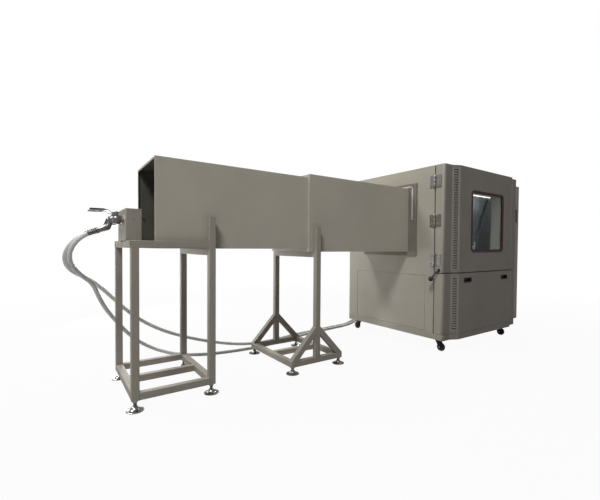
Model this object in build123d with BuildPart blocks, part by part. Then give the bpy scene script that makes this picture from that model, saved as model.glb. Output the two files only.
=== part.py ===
"""Water-jet environmental test chamber: a cabinet on castors with a windowed door,
a two-section spray tunnel, a nozzle stand and a tunnel stand, and two supply hoses.

Millimetres, +Z up. The origin is on the floor, under the middle of the object without
its hoses. The door faces -Y and the tunnel runs from the cabinet towards -X.
"""
import os
from math import atan2, cos, degrees, pi, radians, sin, sqrt, tan

from build123d import *

os.makedirs("parts", exist_ok=True)

# Sheet metal and clearances
skin = 2.0
liner_sheet = 2.0
wall_depth = 48.0
panel_gap = 8.0
run_fit = 0.05
face_gap = 0.3
edge_margin = 3.0

# Cabinet
cabinet_width = 1220.0
cabinet_depth = 1140.0
cabinet_height = 1575.0
castor_height = 115.0
tray_height = 48.0
door_depth = 84.0
front_raise = 35.0
margin_width = 96.0
bevel_width = 76.0
front_corner = 22.0
panel_split = 671.0
deck_height = 48.0
jamb_depth = 106.0
jamb_thickness = 27.0

# Window and wiper
window_width = 520.0
window_height = 506.0
window_sill = 866.0
window_corner = 26.0
trim_width = 14.0
trim_proud = 5.0
pane_thickness = 8.0
inner_pane_thickness = 6.0
wiper_pivot_rise = 60.0
wiper_length = 490.0
wiper_tilt = 27.0
wiper_shaft_radius = 6.0

# Louvre slots in the bevels
slot_width = 40.0
slot_height = 9.0
slot_pitch = 21.0
slot_margin = 24.0

# Hinges, side lever and latch
hinge_heights = (782.0, 1113.0, 1440.0)
hinge_height = 100.0
leaf_thickness = 6.0
leaf_reach = 48.0
door_leaf_reach = 58.0
leaf_corner = 5.0
knuckle_radius = 9.0
hinge_pin_radius = 4.0
hinge_axis_out = 10.0
lever_boss_radius = 6.0
lever_boss_length = 12.0
lever_height_above_split = 20.0
lever_knob_radius = 21.0
latch_height = 1060.0

# Flush pulls in the lower front panel
pull_width = 120.0
pull_height = 42.0
pull_spacing = 624.0
pull_drop = 60.0
pull_depth = 24.0
pull_lip = 4.0

# Castors
wheel_radius = 36.0
wheel_width = 24.0
castor_trail = 28.0
castor_inset_x = 104.0
castor_inset_front = 111.0
castor_inset_rear = 49.0
castor_plate = 88.0
castor_plate_thickness = 4.0
castor_axle_radius = 5.0

# Spray tunnel, measured from the cabinet's left wall
tunnel_reach = 2140.0
sleeve_reach = 1100.0
tunnel_width = 496.0
tunnel_height = 518.0
sleeve_step = 21.0
sleeve_overlap = 60.0
sleeve_bottom = 850.0
tunnel_centre_depth = 626.0
mouth_hem = 12.0
collar_thickness = 12.0
collar_front = 87.0
collar_rear = 20.0
collar_over = 40.0
collar_under = 36.0

# Stands of square tube
tube = 40.0
tube_wall = 2.0
tube_corner = 3.0
nozzle_stand_overhang = 132.0
nozzle_stand_length = 462.0
nozzle_stand_width = 614.0
nozzle_stand_foot = 57.0
nozzle_rail_top = 914.0
retaining_post_top = 1060.0
tunnel_stand_length = 454.0
tunnel_stand_inset = 58.0
tunnel_stand_foot = 47.0
tunnel_side_gap = 3.0
tunnel_post_top = 1029.0
brace_rise = 220.0
cap_plate = 4.0

# Levelling feet
pad_radius = 45.0
pad_rim = 4.0
pad_height = 20.0
stem_radius = 8.0
stem_rise = 29.0
foot_nut_radius = 15.0
foot_nut_height = 10.0

# Nozzle housing, nozzles and valves
housing_corner = 4.0
screw_drop = 38.0
screw_pitch = 46.0
screw_hole_radius = 3.0
housing_length = 84.0
housing_width = 290.0
housing_height = 182.0
nozzle_spacing = 130.0
nozzle_rise = 122.0
large_nozzle_bore = 12.5
small_nozzle_bore = 6.3
nozzle_tube_radius = 16.0
valve_radius = 22.0
valve_length = 62.0
valve_stem_radius = 5.0
handle_length = 118.0
handle_end = 14.0
valve_stem_setback = 36.0
coupling_drop = 66.0

# Supply hoses
hose_diameter = 25.0
outlet_height = 150.0
outlet_spacing = 64.0
outlet_inset = 540.0
outlet_stand_off = 66.0

# Turntable and machinery
turntable_radius = 250.0
turntable_thickness = 8.0
turntable_height = 766.0
turntable_shaft_radius = 15.0
turntable_holes_pcd = 300.0
turntable_hole_radius = 4.25
tank_width = 460.0
tank_depth = 360.0
tank_height = 330.0
inlet_radius = 10.5
inlet_length = 24.0

# Control cabinet on the right wall
control_width = 290.0
control_depth = 760.0
control_setback = 108.0
control_bottom = 130.0
control_top = 1546.0
screen_width = 180.0
screen_height = 120.0
screen_centre_height = 1230.0
stop_below_screen = 140.0
switch_below_stop = 130.0
stop_travel = 6.0

# Places worked out from the sizes above
nozzle_stand_reach = tunnel_reach + nozzle_stand_overhang
tunnel_stand_centre = sleeve_reach - tunnel_stand_inset
nozzle_height = nozzle_rail_top + nozzle_rise
stop_button_height = screen_centre_height - stop_below_screen
main_switch_height = stop_button_height - switch_below_stop
wiper_pivot_height = window_sill + wiper_pivot_rise
pull_centre_height = panel_split - pull_drop
tip_margin = 4.0
tip_reach = nozzle_stand_reach + valve_stem_setback + handle_length + handle_end + tip_margin
left = (tip_reach - cabinet_width - control_width) / 2
right = left + cabinet_width
middle = left + cabinet_width / 2
rear_reach = outlet_stand_off + 20.0
front = -(cabinet_depth + rear_reach - front_raise - trim_proud) / 2
rear = front + cabinet_depth
door_back = front + door_depth
body_front = door_back + panel_gap
wall_front = body_front + liner_sheet
tray_top = castor_height + tray_height
wall_top = cabinet_height - skin
deck_bottom = panel_split + panel_gap - edge_margin - deck_height + 12.0
deck_top = deck_bottom + deck_height
door_bottom = panel_split + panel_gap
door_top = cabinet_height
lining_top = wall_top - wall_depth
window_middle = window_sill + window_height / 2
tunnel_y = front + tunnel_centre_depth
tunnel_mouth = left - tunnel_reach
sleeve_mouth = left - sleeve_reach
sleeve_width = tunnel_width + 2 * sleeve_step
sleeve_height = tunnel_height + 2 * sleeve_step
tunnel_bottom = sleeve_bottom + sleeve_step
hinge_x = left - hinge_axis_out
hinge_y = door_back + panel_gap / 2
turntable_y = tunnel_y
pieces = []


def keep(name, part):
    """Label a finished piece and write its file."""
    part.label = name
    export_step(part, f"parts/{name}.step")
    pieces.append(part)
    return part


def group(name, solids):
    """Keep several separate solids as one node."""
    return keep(name, Compound(label=name, children=list(solids)))


def slab(x0, x1, y0, y1, z0, z1, mode=Mode.ADD):
    """Add or cut a plate between two corners of the part being built."""
    with Locations(((x0 + x1) / 2, (y0 + y1) / 2, (z0 + z1) / 2)):
        Box(abs(x1 - x0), abs(y1 - y0), abs(z1 - z0), mode=mode)


def rod(start, end, radius, mode=Mode.ADD):
    """Add or cut a round bar between two points of the part being built."""
    run = Vector(*end) - Vector(*start)
    with Locations(Plane(origin=start, z_dir=run).location):
        Cylinder(radius, run.length, align=(Align.CENTER, Align.CENTER, Align.MIN), mode=mode)


def front_outline(inset=0.0):
    """Plan of the door and the base: flat margins, bevels and a raised middle."""
    turn = atan2(front_raise, bevel_width)
    shift = inset * tan(turn / 2)
    side = margin_width + shift
    inner = margin_width + bevel_width + shift
    return [
        (left + inset, front + inset),
        (left + side, front + inset),
        (left + inner, front - front_raise + inset),
        (right - inner, front - front_raise + inset),
        (right - side, front + inset),
        (right - inset, front + inset),
    ]


def front_plan(plan, back, inset=0.0):
    """Closed plan between the front outline and a straight back edge, with round front corners."""
    Polygon(*front_outline(inset), (right - inset, back), (left + inset, back), align=None)
    face = front + inset
    corners = plan.vertices().filter_by_position(Axis.Y, face - 1, face + 1).sort_by(Axis.X)
    fillet([corners[0], corners[-1]], front_corner - inset)


def bevel_plane(side, height):
    """Plane on the bevel's middle, with its normal pointing out of the front."""
    turn = degrees(atan2(front_raise, bevel_width))
    across = margin_width + bevel_width / 2
    x = left + across if side < 0 else right - across
    normal = Vector(side * sin(radians(turn)), -cos(radians(turn)), 0)
    return Plane(
        origin=(x, front - front_raise / 2, height), x_dir=(-normal.Y, normal.X, 0), z_dir=normal
    )


def cut_louvres(low, high):
    """Cut the slots of both bevels through the sheet, between two heights."""
    count = int((high - low - 2 * slot_margin) / slot_pitch)
    for side in (-1, 1):
        with Locations(bevel_plane(side, (low + high) / 2).location):
            with GridLocations(slot_width, slot_pitch, 1, count):
                Box(slot_width, slot_height, 4 * skin, mode=Mode.SUBTRACT)


# Base tray: a pan with the cabinet's whole plan, which carries the walls
rib_drop = 8.0
with BuildPart() as base_tray:
    with BuildSketch(Plane.XY.offset(castor_height)) as plan:
        front_plan(plan, rear)
    extrude(amount=tray_height)
    with BuildSketch(Plane.XY.offset(castor_height + skin)) as plan:
        front_plan(plan, rear - skin, skin)
    extrude(amount=tray_height, mode=Mode.SUBTRACT)
    for y in (front + castor_inset_front, rear - castor_inset_rear):
        slab(left + skin, right - skin, y - 2 * skin, y + 2 * skin, castor_height, tray_top - rib_drop)
keep("base_tray", base_tray.part)


def tunnel_hole(x0, x1, clearance, mode=Mode.SUBTRACT):
    """A rectangular block around the sleeve's outline, with a clearance."""
    slab(
        x0,
        x1,
        tunnel_y - sleeve_width / 2 - clearance,
        tunnel_y + sleeve_width / 2 + clearance,
        sleeve_bottom - clearance,
        sleeve_bottom + sleeve_height + clearance,
        mode,
    )


# Left wall: a folded pan, open inwards, with the tunnel's framed opening above
# and a shallow recess with two service holes below
access_front = front + 176.0
access_rear = front + 1014.0
access_bottom = tray_top + 10.0
access_top = panel_split - 24.0
access_recess = 3.0
sleeve_clearance = 1.0
service_hole_spacing = 380.0
service_hole_width = 320.0
service_hole_height = 340.0
service_hole_corner = 20.0
with BuildPart() as left_wall:
    slab(left, left + wall_depth, wall_front, rear, tray_top, wall_top)
    slab(left + skin, left + wall_depth, wall_front + skin, rear - skin, tray_top + skin,
         wall_top - skin, Mode.SUBTRACT)
    tunnel_hole(left, left + wall_depth, sleeve_clearance + skin, Mode.ADD)
    tunnel_hole(left, left + wall_depth, sleeve_clearance)
    slab(left, left + access_recess + skin, access_front - skin, access_rear + skin,
         access_bottom - skin, access_top + skin)
    slab(left, left + access_recess, access_front, access_rear, access_bottom, access_top,
         Mode.SUBTRACT)
    with BuildSketch(Plane.YZ.offset(left)):
        with Locations(((access_front + access_rear) / 2, (access_bottom + access_top) / 2)):
            with GridLocations(service_hole_spacing, 1, 2, 1):
                RectangleRounded(service_hole_width, service_hole_height, service_hole_corner)
    extrude(amount=wall_depth, mode=Mode.SUBTRACT)
keep("left_wall", left_wall.part)

# Side access panel, flush in the recess of the left wall
panel_seam = 3.0
with BuildPart() as side_access_panel:
    slab(left, left + access_recess, access_front + panel_seam, access_rear - panel_seam,
         access_bottom + panel_seam, access_top - panel_seam)
keep("side_access_panel", side_access_panel.part)

# Right wall: the same pan without openings, apart from the cable passage to the controls
cable_passage_radius = 30.0
cable_passage_height = 520.0
cable_passage_y = front + 400.0
with BuildPart() as right_wall:
    slab(right - wall_depth, right, wall_front, rear, tray_top, wall_top)
    slab(right - wall_depth, right - skin, wall_front + skin, rear - skin, tray_top + skin,
         wall_top - skin, Mode.SUBTRACT)
    rod((right - wall_depth, cable_passage_y, cable_passage_height),
        (right, cable_passage_y, cable_passage_height), cable_passage_radius, Mode.SUBTRACT)
keep("right_wall", right_wall.part)

# Rear wall between the side walls, with a vent grille for the machine compartment
grille_slots = 12
grille_pitch = 22.0
grille_inset = 360.0
grille_height = 480.0
grille_slot_width = 260.0
grille_slot_height = 8.0
inlet_x = right - 200.0
inlet_height = 300.0
inlet_wall = 5.0
with BuildPart() as rear_wall:
    slab(left + wall_depth, right - wall_depth, rear - wall_depth, rear, tray_top, wall_top)
    slab(left + wall_depth + skin, right - wall_depth - skin, rear - wall_depth, rear - skin,
         tray_top + skin, wall_top - skin, Mode.SUBTRACT)
    with BuildSketch(Plane.XZ.offset(-rear)):
        with Locations((right - grille_inset, grille_height)):
            with GridLocations(1, grille_pitch, 1, grille_slots):
                Rectangle(grille_slot_width, grille_slot_height)
    extrude(amount=2 * skin, mode=Mode.SUBTRACT)
    outlet_x = left + outlet_inset
    for row in range(2):
        z = outlet_height + row * outlet_spacing + tray_height
        rod((outlet_x, rear - wall_depth, z), (outlet_x, rear, z), hose_diameter / 2, Mode.SUBTRACT)
    rod((inlet_x, rear - 2 * skin, inlet_height), (inlet_x, rear, inlet_height), inlet_radius + inlet_wall,
        Mode.SUBTRACT)
keep("rear_wall", rear_wall.part)

# Top cover: a plate over all four walls with a stiffening skirt inside them
with BuildPart() as top_cover:
    slab(left, right, wall_front, rear, wall_top, cabinet_height)
    slab(left + wall_depth, right - wall_depth, wall_front, rear - wall_depth, lining_top, wall_top)
    slab(left + wall_depth + skin, right - wall_depth - skin, wall_front + skin,
         rear - wall_depth - skin, lining_top, wall_top, Mode.SUBTRACT)
keep("top_cover", top_cover.part)

# Floor deck between the test space and the machine compartment
drain_offset = 300.0
drain_radius = 20.0
shaft_hole_radius = 24.0
with BuildPart() as chamber_floor:
    slab(left + wall_depth, right - wall_depth, wall_front, rear - wall_depth, deck_bottom, deck_top)
    slab(left + wall_depth + skin, right - wall_depth - skin, wall_front + skin,
         rear - wall_depth - skin, deck_bottom + skin, deck_top, Mode.SUBTRACT)
    rod((middle, turntable_y, deck_bottom), (middle, turntable_y, deck_top), shaft_hole_radius,
        Mode.SUBTRACT)
    rod((middle + drain_offset, turntable_y, deck_bottom), (middle + drain_offset, turntable_y, deck_top),
        drain_radius, Mode.SUBTRACT)
keep("chamber_floor", chamber_floor.part)

# Stainless lining: main box, a narrower mouth with a folded jamb, and the front flange
inner_left = left + wall_depth
inner_right = right - wall_depth
inner_rear = rear - wall_depth
jamb_rear = body_front + jamb_depth
mouth_left = inner_left + jamb_thickness
mouth_right = inner_right - jamb_thickness
mouth_bottom = deck_top + jamb_thickness
mouth_top = lining_top - jamb_thickness
with BuildPart() as inner_lining:
    slab(inner_left, inner_right, jamb_rear - liner_sheet, inner_rear, deck_top, lining_top)
    slab(inner_left + liner_sheet, inner_right - liner_sheet, jamb_rear, inner_rear - liner_sheet,
         deck_top + liner_sheet, lining_top - liner_sheet, Mode.SUBTRACT)
    slab(mouth_left - liner_sheet, mouth_right + liner_sheet, body_front, jamb_rear - liner_sheet,
         mouth_bottom - liner_sheet, mouth_top + liner_sheet)
    slab(left + edge_margin, right - edge_margin, body_front, wall_front,
         door_bottom + edge_margin, wall_top - edge_margin)
    slab(mouth_left, mouth_right, body_front, jamb_rear + 1, mouth_bottom, mouth_top, Mode.SUBTRACT)
    tunnel_hole(inner_left, inner_left + liner_sheet, 0.0)
    rod((middle, turntable_y, deck_top), (middle, turntable_y, deck_top + liner_sheet),
        shaft_hole_radius, Mode.SUBTRACT)
    rod((middle + drain_offset, turntable_y, deck_top), (middle + drain_offset, turntable_y,
        deck_top + liner_sheet), drain_radius, Mode.SUBTRACT)
keep("inner_lining", inner_lining.part)

# Chamber lamp on the ceiling of the test space: a shallow dome in a ring
lamp_radius = 90.0
lamp_drop = 42.0
lamp_ring_width = 14.0
lamp_setback = 240.0
lamp_y = inner_rear - lamp_setback
with BuildPart() as chamber_lamp:
    with BuildSketch(Plane.XZ.offset(-lamp_y)):
        with BuildLine():
            top = lining_top - liner_sheet
            ring = lamp_radius - lamp_ring_width
            Polyline((middle, top - lamp_drop), (middle, top), (middle + lamp_radius, top),
                     (middle + lamp_radius, top - lamp_ring_width), (middle + ring, top - lamp_ring_width))
            TangentArc((middle, top - lamp_drop), (middle + ring, top - lamp_ring_width), tangent=(1, 0))
        make_face()
    revolve(axis=Axis((middle, lamp_y, 0), (0, 0, 1)))
keep("chamber_lamp", chamber_lamp.part)

# Door: a hollow folded shell with louvred bevels and a window well through it
lever_setback = 4.0
with BuildPart() as door_shell:
    with BuildSketch(Plane.XY.offset(door_bottom)) as plan:
        front_plan(plan, door_back)
    extrude(amount=door_top - door_bottom)
    with BuildSketch(Plane.XY.offset(door_bottom + skin)) as plan:
        front_plan(plan, door_back - skin, skin)
    extrude(amount=door_top - door_bottom - 2 * skin, mode=Mode.SUBTRACT)
    with BuildSketch(Plane.XZ.offset(-door_back)):
        with Locations((middle, window_middle)):
            RectangleRounded(window_width + 2 * skin, window_height + 2 * skin, window_corner + skin)
    extrude(amount=door_depth + front_raise)
    with BuildSketch(Plane.XZ.offset(-door_back)):
        with Locations((middle, window_middle)):
            RectangleRounded(window_width, window_height, window_corner)
    extrude(amount=door_depth + front_raise, mode=Mode.SUBTRACT)
    cut_louvres(door_bottom, door_top)
    lever_y = front + door_depth / 2 + lever_setback
    lever_z = door_bottom + lever_height_above_split
    rod((left, lever_y, lever_z), (left - lever_boss_length, lever_y, lever_z), lever_boss_radius)
    rod((right, lever_y, latch_height), (right + lever_boss_length, lever_y, latch_height),
        lever_boss_radius)
keep("door_shell", door_shell.part)

# Window: outer and inner panes
pane_inset = 4.0
pane_gap = 3.0
outer_pane_front = front - front_raise + pane_inset
inner_pane_front = door_back - skin - inner_pane_thickness
with BuildPart() as outer_pane:
    with BuildSketch(Plane.XZ.offset(-(outer_pane_front + pane_thickness))):
        with Locations((middle, window_middle)):
            RectangleRounded(window_width - 2 * pane_gap, window_height - 2 * pane_gap,
                             window_corner - pane_gap)
    extrude(amount=pane_thickness)
with BuildPart() as inner_pane:
    with BuildSketch(Plane.XZ.offset(-(inner_pane_front + inner_pane_thickness))):
        with Locations((middle, window_middle)):
            RectangleRounded(window_width, window_height, window_corner)
    extrude(amount=inner_pane_thickness)
group("window_panes", [outer_pane.part, inner_pane.part])

# Window trim: a rubber section with an outer lip and a groove that holds the outer pane
trim_cover = 6.0
trim_lip = 4.0
trim_taper = 12.0
with BuildPart() as window_trim:
    with BuildSketch(Plane.XZ.offset(-(front - front_raise))):
        with Locations((middle, window_middle)):
            RectangleRounded(window_width + 2 * trim_width, window_height + 2 * trim_width,
                             window_corner + trim_width)
            RectangleRounded(window_width - 2 * trim_cover, window_height - 2 * trim_cover,
                             window_corner - trim_cover, mode=Mode.SUBTRACT)
    extrude(amount=trim_proud, taper=trim_taper)
    with BuildSketch(Plane.XZ.offset(-(outer_pane_front + pane_thickness + trim_lip))):
        with Locations((middle, window_middle)):
            RectangleRounded(window_width, window_height, window_corner)
            RectangleRounded(window_width - 2 * trim_cover, window_height - 2 * trim_cover,
                             window_corner - trim_cover, mode=Mode.SUBTRACT)
    extrude(amount=pane_thickness + 2 * trim_lip)
    with BuildSketch(Plane.XZ.offset(-(outer_pane_front + pane_thickness))):
        with Locations((middle, window_middle)):
            RectangleRounded(window_width - 2 * pane_gap, window_height - 2 * pane_gap,
                             window_corner - pane_gap)
    extrude(amount=pane_thickness, mode=Mode.SUBTRACT)
keep("window_trim", window_trim.part)

# Door gasket between the door and the lining's flange
gasket_inset = 26.0
gasket_width = 18.0
with BuildPart() as door_gasket:
    with BuildSketch(Plane.XZ.offset(-body_front)):
        with Locations((middle, (door_bottom + door_top) / 2)):
            tall = door_top - door_bottom
            RectangleRounded(cabinet_width - 2 * gasket_inset, tall - 2 * gasket_inset, 20)
            RectangleRounded(cabinet_width - 2 * gasket_inset - 2 * gasket_width,
                             tall - 2 * gasket_inset - 2 * gasket_width, 8, mode=Mode.SUBTRACT)
    extrude(amount=panel_gap)
keep("door_gasket", door_gasket.part)


# Hinges: the cabinet's leaves carry the pins, and each door leaf has the middle knuckle
knuckle_gap = 0.5
fixed_knuckle = 33.0
fixed_leaves = []
door_leaves = []
for height in hinge_heights:
    low = height - hinge_height / 2
    high = height + hinge_height / 2
    moving_low = low + fixed_knuckle + knuckle_gap
    moving_high = high - fixed_knuckle - knuckle_gap
    with BuildPart() as fixed_leaf:
        with BuildSketch(Plane.YZ.offset(left - leaf_thickness)):
            with Locations((hinge_y + leaf_reach / 2, height)):
                RectangleRounded(leaf_reach, hinge_height, leaf_corner)
        extrude(amount=leaf_thickness)
        for start, end in ((low, low + fixed_knuckle), (high - fixed_knuckle, high)):
            rod((hinge_x, hinge_y, start), (hinge_x, hinge_y, end), knuckle_radius)
        slab(left - 3 * knuckle_radius, left, hinge_y - knuckle_radius - 1, hinge_y + knuckle_radius + 1,
             low + fixed_knuckle, high - fixed_knuckle, Mode.SUBTRACT)
        rod((hinge_x, hinge_y, low), (hinge_x, hinge_y, high), hinge_pin_radius)
    fixed_leaves.append(fixed_leaf.part)
    with BuildPart() as door_leaf:
        with BuildSketch(Plane.YZ.offset(left - leaf_thickness)):
            with Locations((hinge_y - door_leaf_reach / 2, height)):
                RectangleRounded(door_leaf_reach, hinge_height, leaf_corner)
        extrude(amount=leaf_thickness)
        for start, end in ((low - 1, moving_low), (moving_high, high + 1)):
            slab(left - 3 * knuckle_radius, left, hinge_y - knuckle_radius - 2, hinge_y + 1, start, end,
                 Mode.SUBTRACT)
        rod((hinge_x, hinge_y, moving_low), (hinge_x, hinge_y, moving_high), knuckle_radius)
        rod((hinge_x, hinge_y, low), (hinge_x, hinge_y, high), hinge_pin_radius + run_fit,
            Mode.SUBTRACT)
    door_leaves.append(door_leaf.part)
group("hinge_leaves_fixed", fixed_leaves)
group("hinge_leaves_door", door_leaves)

# Side lever: a cranked clamp lever with a ball knob, on a boss of the door's left face
knob_out = 65.0
knob_back = 27.0
knob_down = 70.0
lever_hub_radius = 14.0
lever_hub_out = 24.0
lever_arm_radius = 7.5
with BuildPart() as side_lever:
    rod((left - face_gap, lever_y, lever_z), (left - lever_hub_out, lever_y, lever_z), lever_hub_radius)
    arm_start = Vector(left - lever_hub_out + lever_arm_radius, lever_y, lever_z)
    arm = Vector(left - knob_out, lever_y + knob_back, lever_z - knob_down) - arm_start
    across = arm.cross(Vector(0, 0, 1)).normalized()
    with BuildSketch(Plane(origin=arm_start, x_dir=across, z_dir=across.cross(arm.normalized()))):
        with BuildLine():
            neck = arm.length - sqrt(lever_knob_radius**2 - lever_arm_radius**2)
            Polyline((0, arm.length + lever_knob_radius), (0, 0), (lever_arm_radius, 0),
                     (lever_arm_radius, neck))
            ThreePointArc((lever_arm_radius, neck), (lever_knob_radius, arm.length),
                          (0, arm.length + lever_knob_radius))
        make_face()
    revolve(axis=Axis(arm_start, arm))
    rod((left, lever_y, lever_z), (left - lever_boss_length - 1, lever_y, lever_z),
        lever_boss_radius + run_fit, Mode.SUBTRACT)
keep("side_lever", side_lever.part)

# Door latch on the door's right face: a flat handle on its own boss
latch_length = 120.0
latch_hub_radius = 18.0
latch_hub_depth = 16.0
latch_tip_radius = 12.0
latch_plate = 14.0
latch_edge = 4.0
with BuildPart() as door_latch:
    rod((right + face_gap, lever_y, latch_height), (right + latch_hub_depth, lever_y, latch_height),
        latch_hub_radius)
    with BuildSketch(Plane.YZ.offset(right + latch_plate)):
        with Locations((lever_y, latch_height)):
            Circle(latch_hub_radius)
        with Locations((lever_y, latch_height - latch_length)):
            Circle(latch_tip_radius)
        make_hull()
    extrude(amount=latch_plate)
    fillet(door_latch.faces().sort_by(Axis.X)[-1].edges(), latch_edge)
    rod((right, lever_y, latch_height), (right + lever_boss_length + 1, lever_y, latch_height),
        lever_boss_radius + run_fit, Mode.SUBTRACT)
keep("door_latch", door_latch.part)

# Wiper drive: an L-shaped gear housing on the door's inner face, below the window
drive_width = 70.0
drive_arm_gap = 24.0
drive_body = 34.0
drive_below = 40.0
drive_above = 28.0
drive_lip = 6.0
drive_corner = 14.0
shaft_bore = 16.0
with BuildPart() as wiper_drive:
    with BuildSketch(Plane.YZ.offset(middle - drive_width / 2)):
        with BuildLine():
            y0 = door_back
            y1 = door_back + drive_arm_gap
            y2 = y1 + drive_body
            foot = window_sill - drive_below
            shoulder = window_sill - drive_lip
            head = wiper_pivot_height + drive_above
            Polyline((y0, foot), (y2, foot), (y2, head), (y1, head), (y1, shoulder), (y0, shoulder),
                     close=True)
        make_face()
    extrude(amount=drive_width)
    fillet(wiper_drive.edges().filter_by(Axis.Y).sort_by(Axis.Z)[-2:], drive_corner)
    rod((middle, y1, wiper_pivot_height), (middle, y1 + shaft_bore, wiper_pivot_height),
        wiper_shaft_radius + run_fit, Mode.SUBTRACT)
keep("wiper_drive", wiper_drive.part)

# Wiper: shaft, tapered arm, blade holder and rubber lip, leaning to the right at rest
blade_room = 12.0
arm_thickness = 6.0
arm_root = 15.0
arm_tip = 5.0
blade_width = 14.0
blade_length = 400.0
holder_depth = 5.0
lip_width = 5.0
with BuildPart() as window_wiper:
    pivot = Plane(origin=(middle, door_back + blade_room, wiper_pivot_height),
                  x_dir=(cos(radians(wiper_tilt)), 0, -sin(radians(wiper_tilt))), z_dir=(0, -1, 0))
    with BuildSketch(pivot.offset(-arm_thickness)):
        Circle(arm_root)
        with Locations((0, wiper_length - blade_room)):
            Circle(arm_tip)
        make_hull()
    extrude(amount=arm_thickness)
    with BuildSketch(pivot):
        with Locations((0, wiper_length - blade_length / 2 - 10)):
            RectangleRounded(blade_width, blade_length, arm_tip)
    extrude(amount=holder_depth)
    with BuildSketch(pivot.offset(holder_depth)):
        with Locations((0, wiper_length - blade_length / 2 - 10)):
            Rectangle(lip_width, blade_length - 4)
    extrude(amount=blade_room - holder_depth - face_gap)
    rod((middle, door_back + blade_room + arm_thickness, wiper_pivot_height),
        (middle, door_back + drive_arm_gap + shaft_bore - 1, wiper_pivot_height), wiper_shaft_radius)
keep("window_wiper", window_wiper.part)

# Lower front panel: an open-backed shell with the front's profile and two pull cut-outs
lower_bottom = tray_top + skin
stud_block = 24.0
stud_radius = 6.0
with BuildPart() as lower_front_panel:
    with BuildSketch(Plane.XY.offset(lower_bottom)) as plan:
        front_plan(plan, door_back)
    extrude(amount=panel_split - lower_bottom)
    with BuildSketch(Plane.XY.offset(lower_bottom + skin)) as plan:
        front_plan(plan, door_back + 1, skin)
    extrude(amount=panel_split - lower_bottom - 2 * skin, mode=Mode.SUBTRACT)
    with BuildSketch(Plane.XZ.offset(-(front - front_raise + skin))):
        with Locations((middle, pull_centre_height)):
            with GridLocations(pull_spacing, 1, 2, 1):
                Rectangle(pull_width - 2 * pull_lip, pull_height - 2 * pull_lip)
    extrude(amount=skin, mode=Mode.SUBTRACT)
    cut_louvres(lower_bottom, panel_split)
    for edge, inward in ((left + skin, 1), (right - skin, -1)):
        slab(edge, edge + inward * 2 * stud_block, door_back - stud_block, door_back - stud_block + skin,
             lower_bottom + skin, panel_split - skin)
        x = edge + inward * stud_block
        for z in (lower_bottom + stud_block, panel_split - stud_block):
            slab(x - stud_block / 2, x + stud_block / 2, door_back - stud_block, door_back,
                 z - stud_block / 2, z + stud_block / 2)
            rod((x, door_back, z), (x, wall_front, z), stud_radius)
keep("lower_front_panel", lower_front_panel.part)

# Flush pulls: moulded cups with a thin rim and a finger recess
cup_edge = 7.0
pulls = []
for side in (-1, 1):
    x = middle + side * pull_spacing / 2
    with BuildPart() as pull:
        face = front - front_raise
        with BuildSketch(Plane.XZ.offset(-face)):
            with Locations((x, pull_centre_height)):
                RectangleRounded(pull_width, pull_height, pull_lip)
        extrude(amount=skin)
        with BuildSketch(Plane.XZ.offset(-face)):
            with Locations((x, pull_centre_height)):
                Rectangle(pull_width - 2 * pull_lip, pull_height - 2 * pull_lip)
        extrude(amount=-pull_depth)
        with BuildSketch(Plane.XZ.offset(-(face - skin))):
            with Locations((x, pull_centre_height)):
                RectangleRounded(pull_width - 2 * cup_edge, pull_height - 2 * cup_edge, pull_lip - 1)
        extrude(amount=-pull_depth, mode=Mode.SUBTRACT)
    pulls.append(pull.part)
group("panel_pulls", pulls)

# Castors: fixed top plates, swivelling forks with their axles, and wheels
castor_names = ("front_left", "front_right", "rear_left", "rear_right")
castor_places = [
    (left + castor_inset_x, front + castor_inset_front, -1),
    (right - castor_inset_x, front + castor_inset_front, -1),
    (left + castor_inset_x, rear - castor_inset_rear, 1),
    (right - castor_inset_x, rear - castor_inset_rear, 1),
]
crown_depth = 8.0
crown_radius = 26.0
plate_corner = 8.0
wheel_gap = 2.0
cheek_sheet = 3.0
cheek_half = 24.0
shoulder_half = 14.0
fork_top = 4.0
axle_boss_radius = 12.0
pedal_half = 15.0
pedal_reach = 60.0
pedal_root = 12.0
hub_radius = 12.0
rim_depth = 12.0
tread_depth = 9.0
rim_recess = 5.0
tread_round = 4.0
swivel_top = castor_height - castor_plate_thickness
crown_top = swivel_top - crown_depth
plates = []
for x, y, trail in castor_places:
    with BuildPart() as castor_plate_part:
        with BuildSketch(Plane.XY.offset(swivel_top)):
            with Locations((x, y)):
                RectangleRounded(castor_plate, castor_plate, plate_corner)
        extrude(amount=castor_plate_thickness)
    plates.append(castor_plate_part.part)
group("castor_plates", plates)

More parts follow.
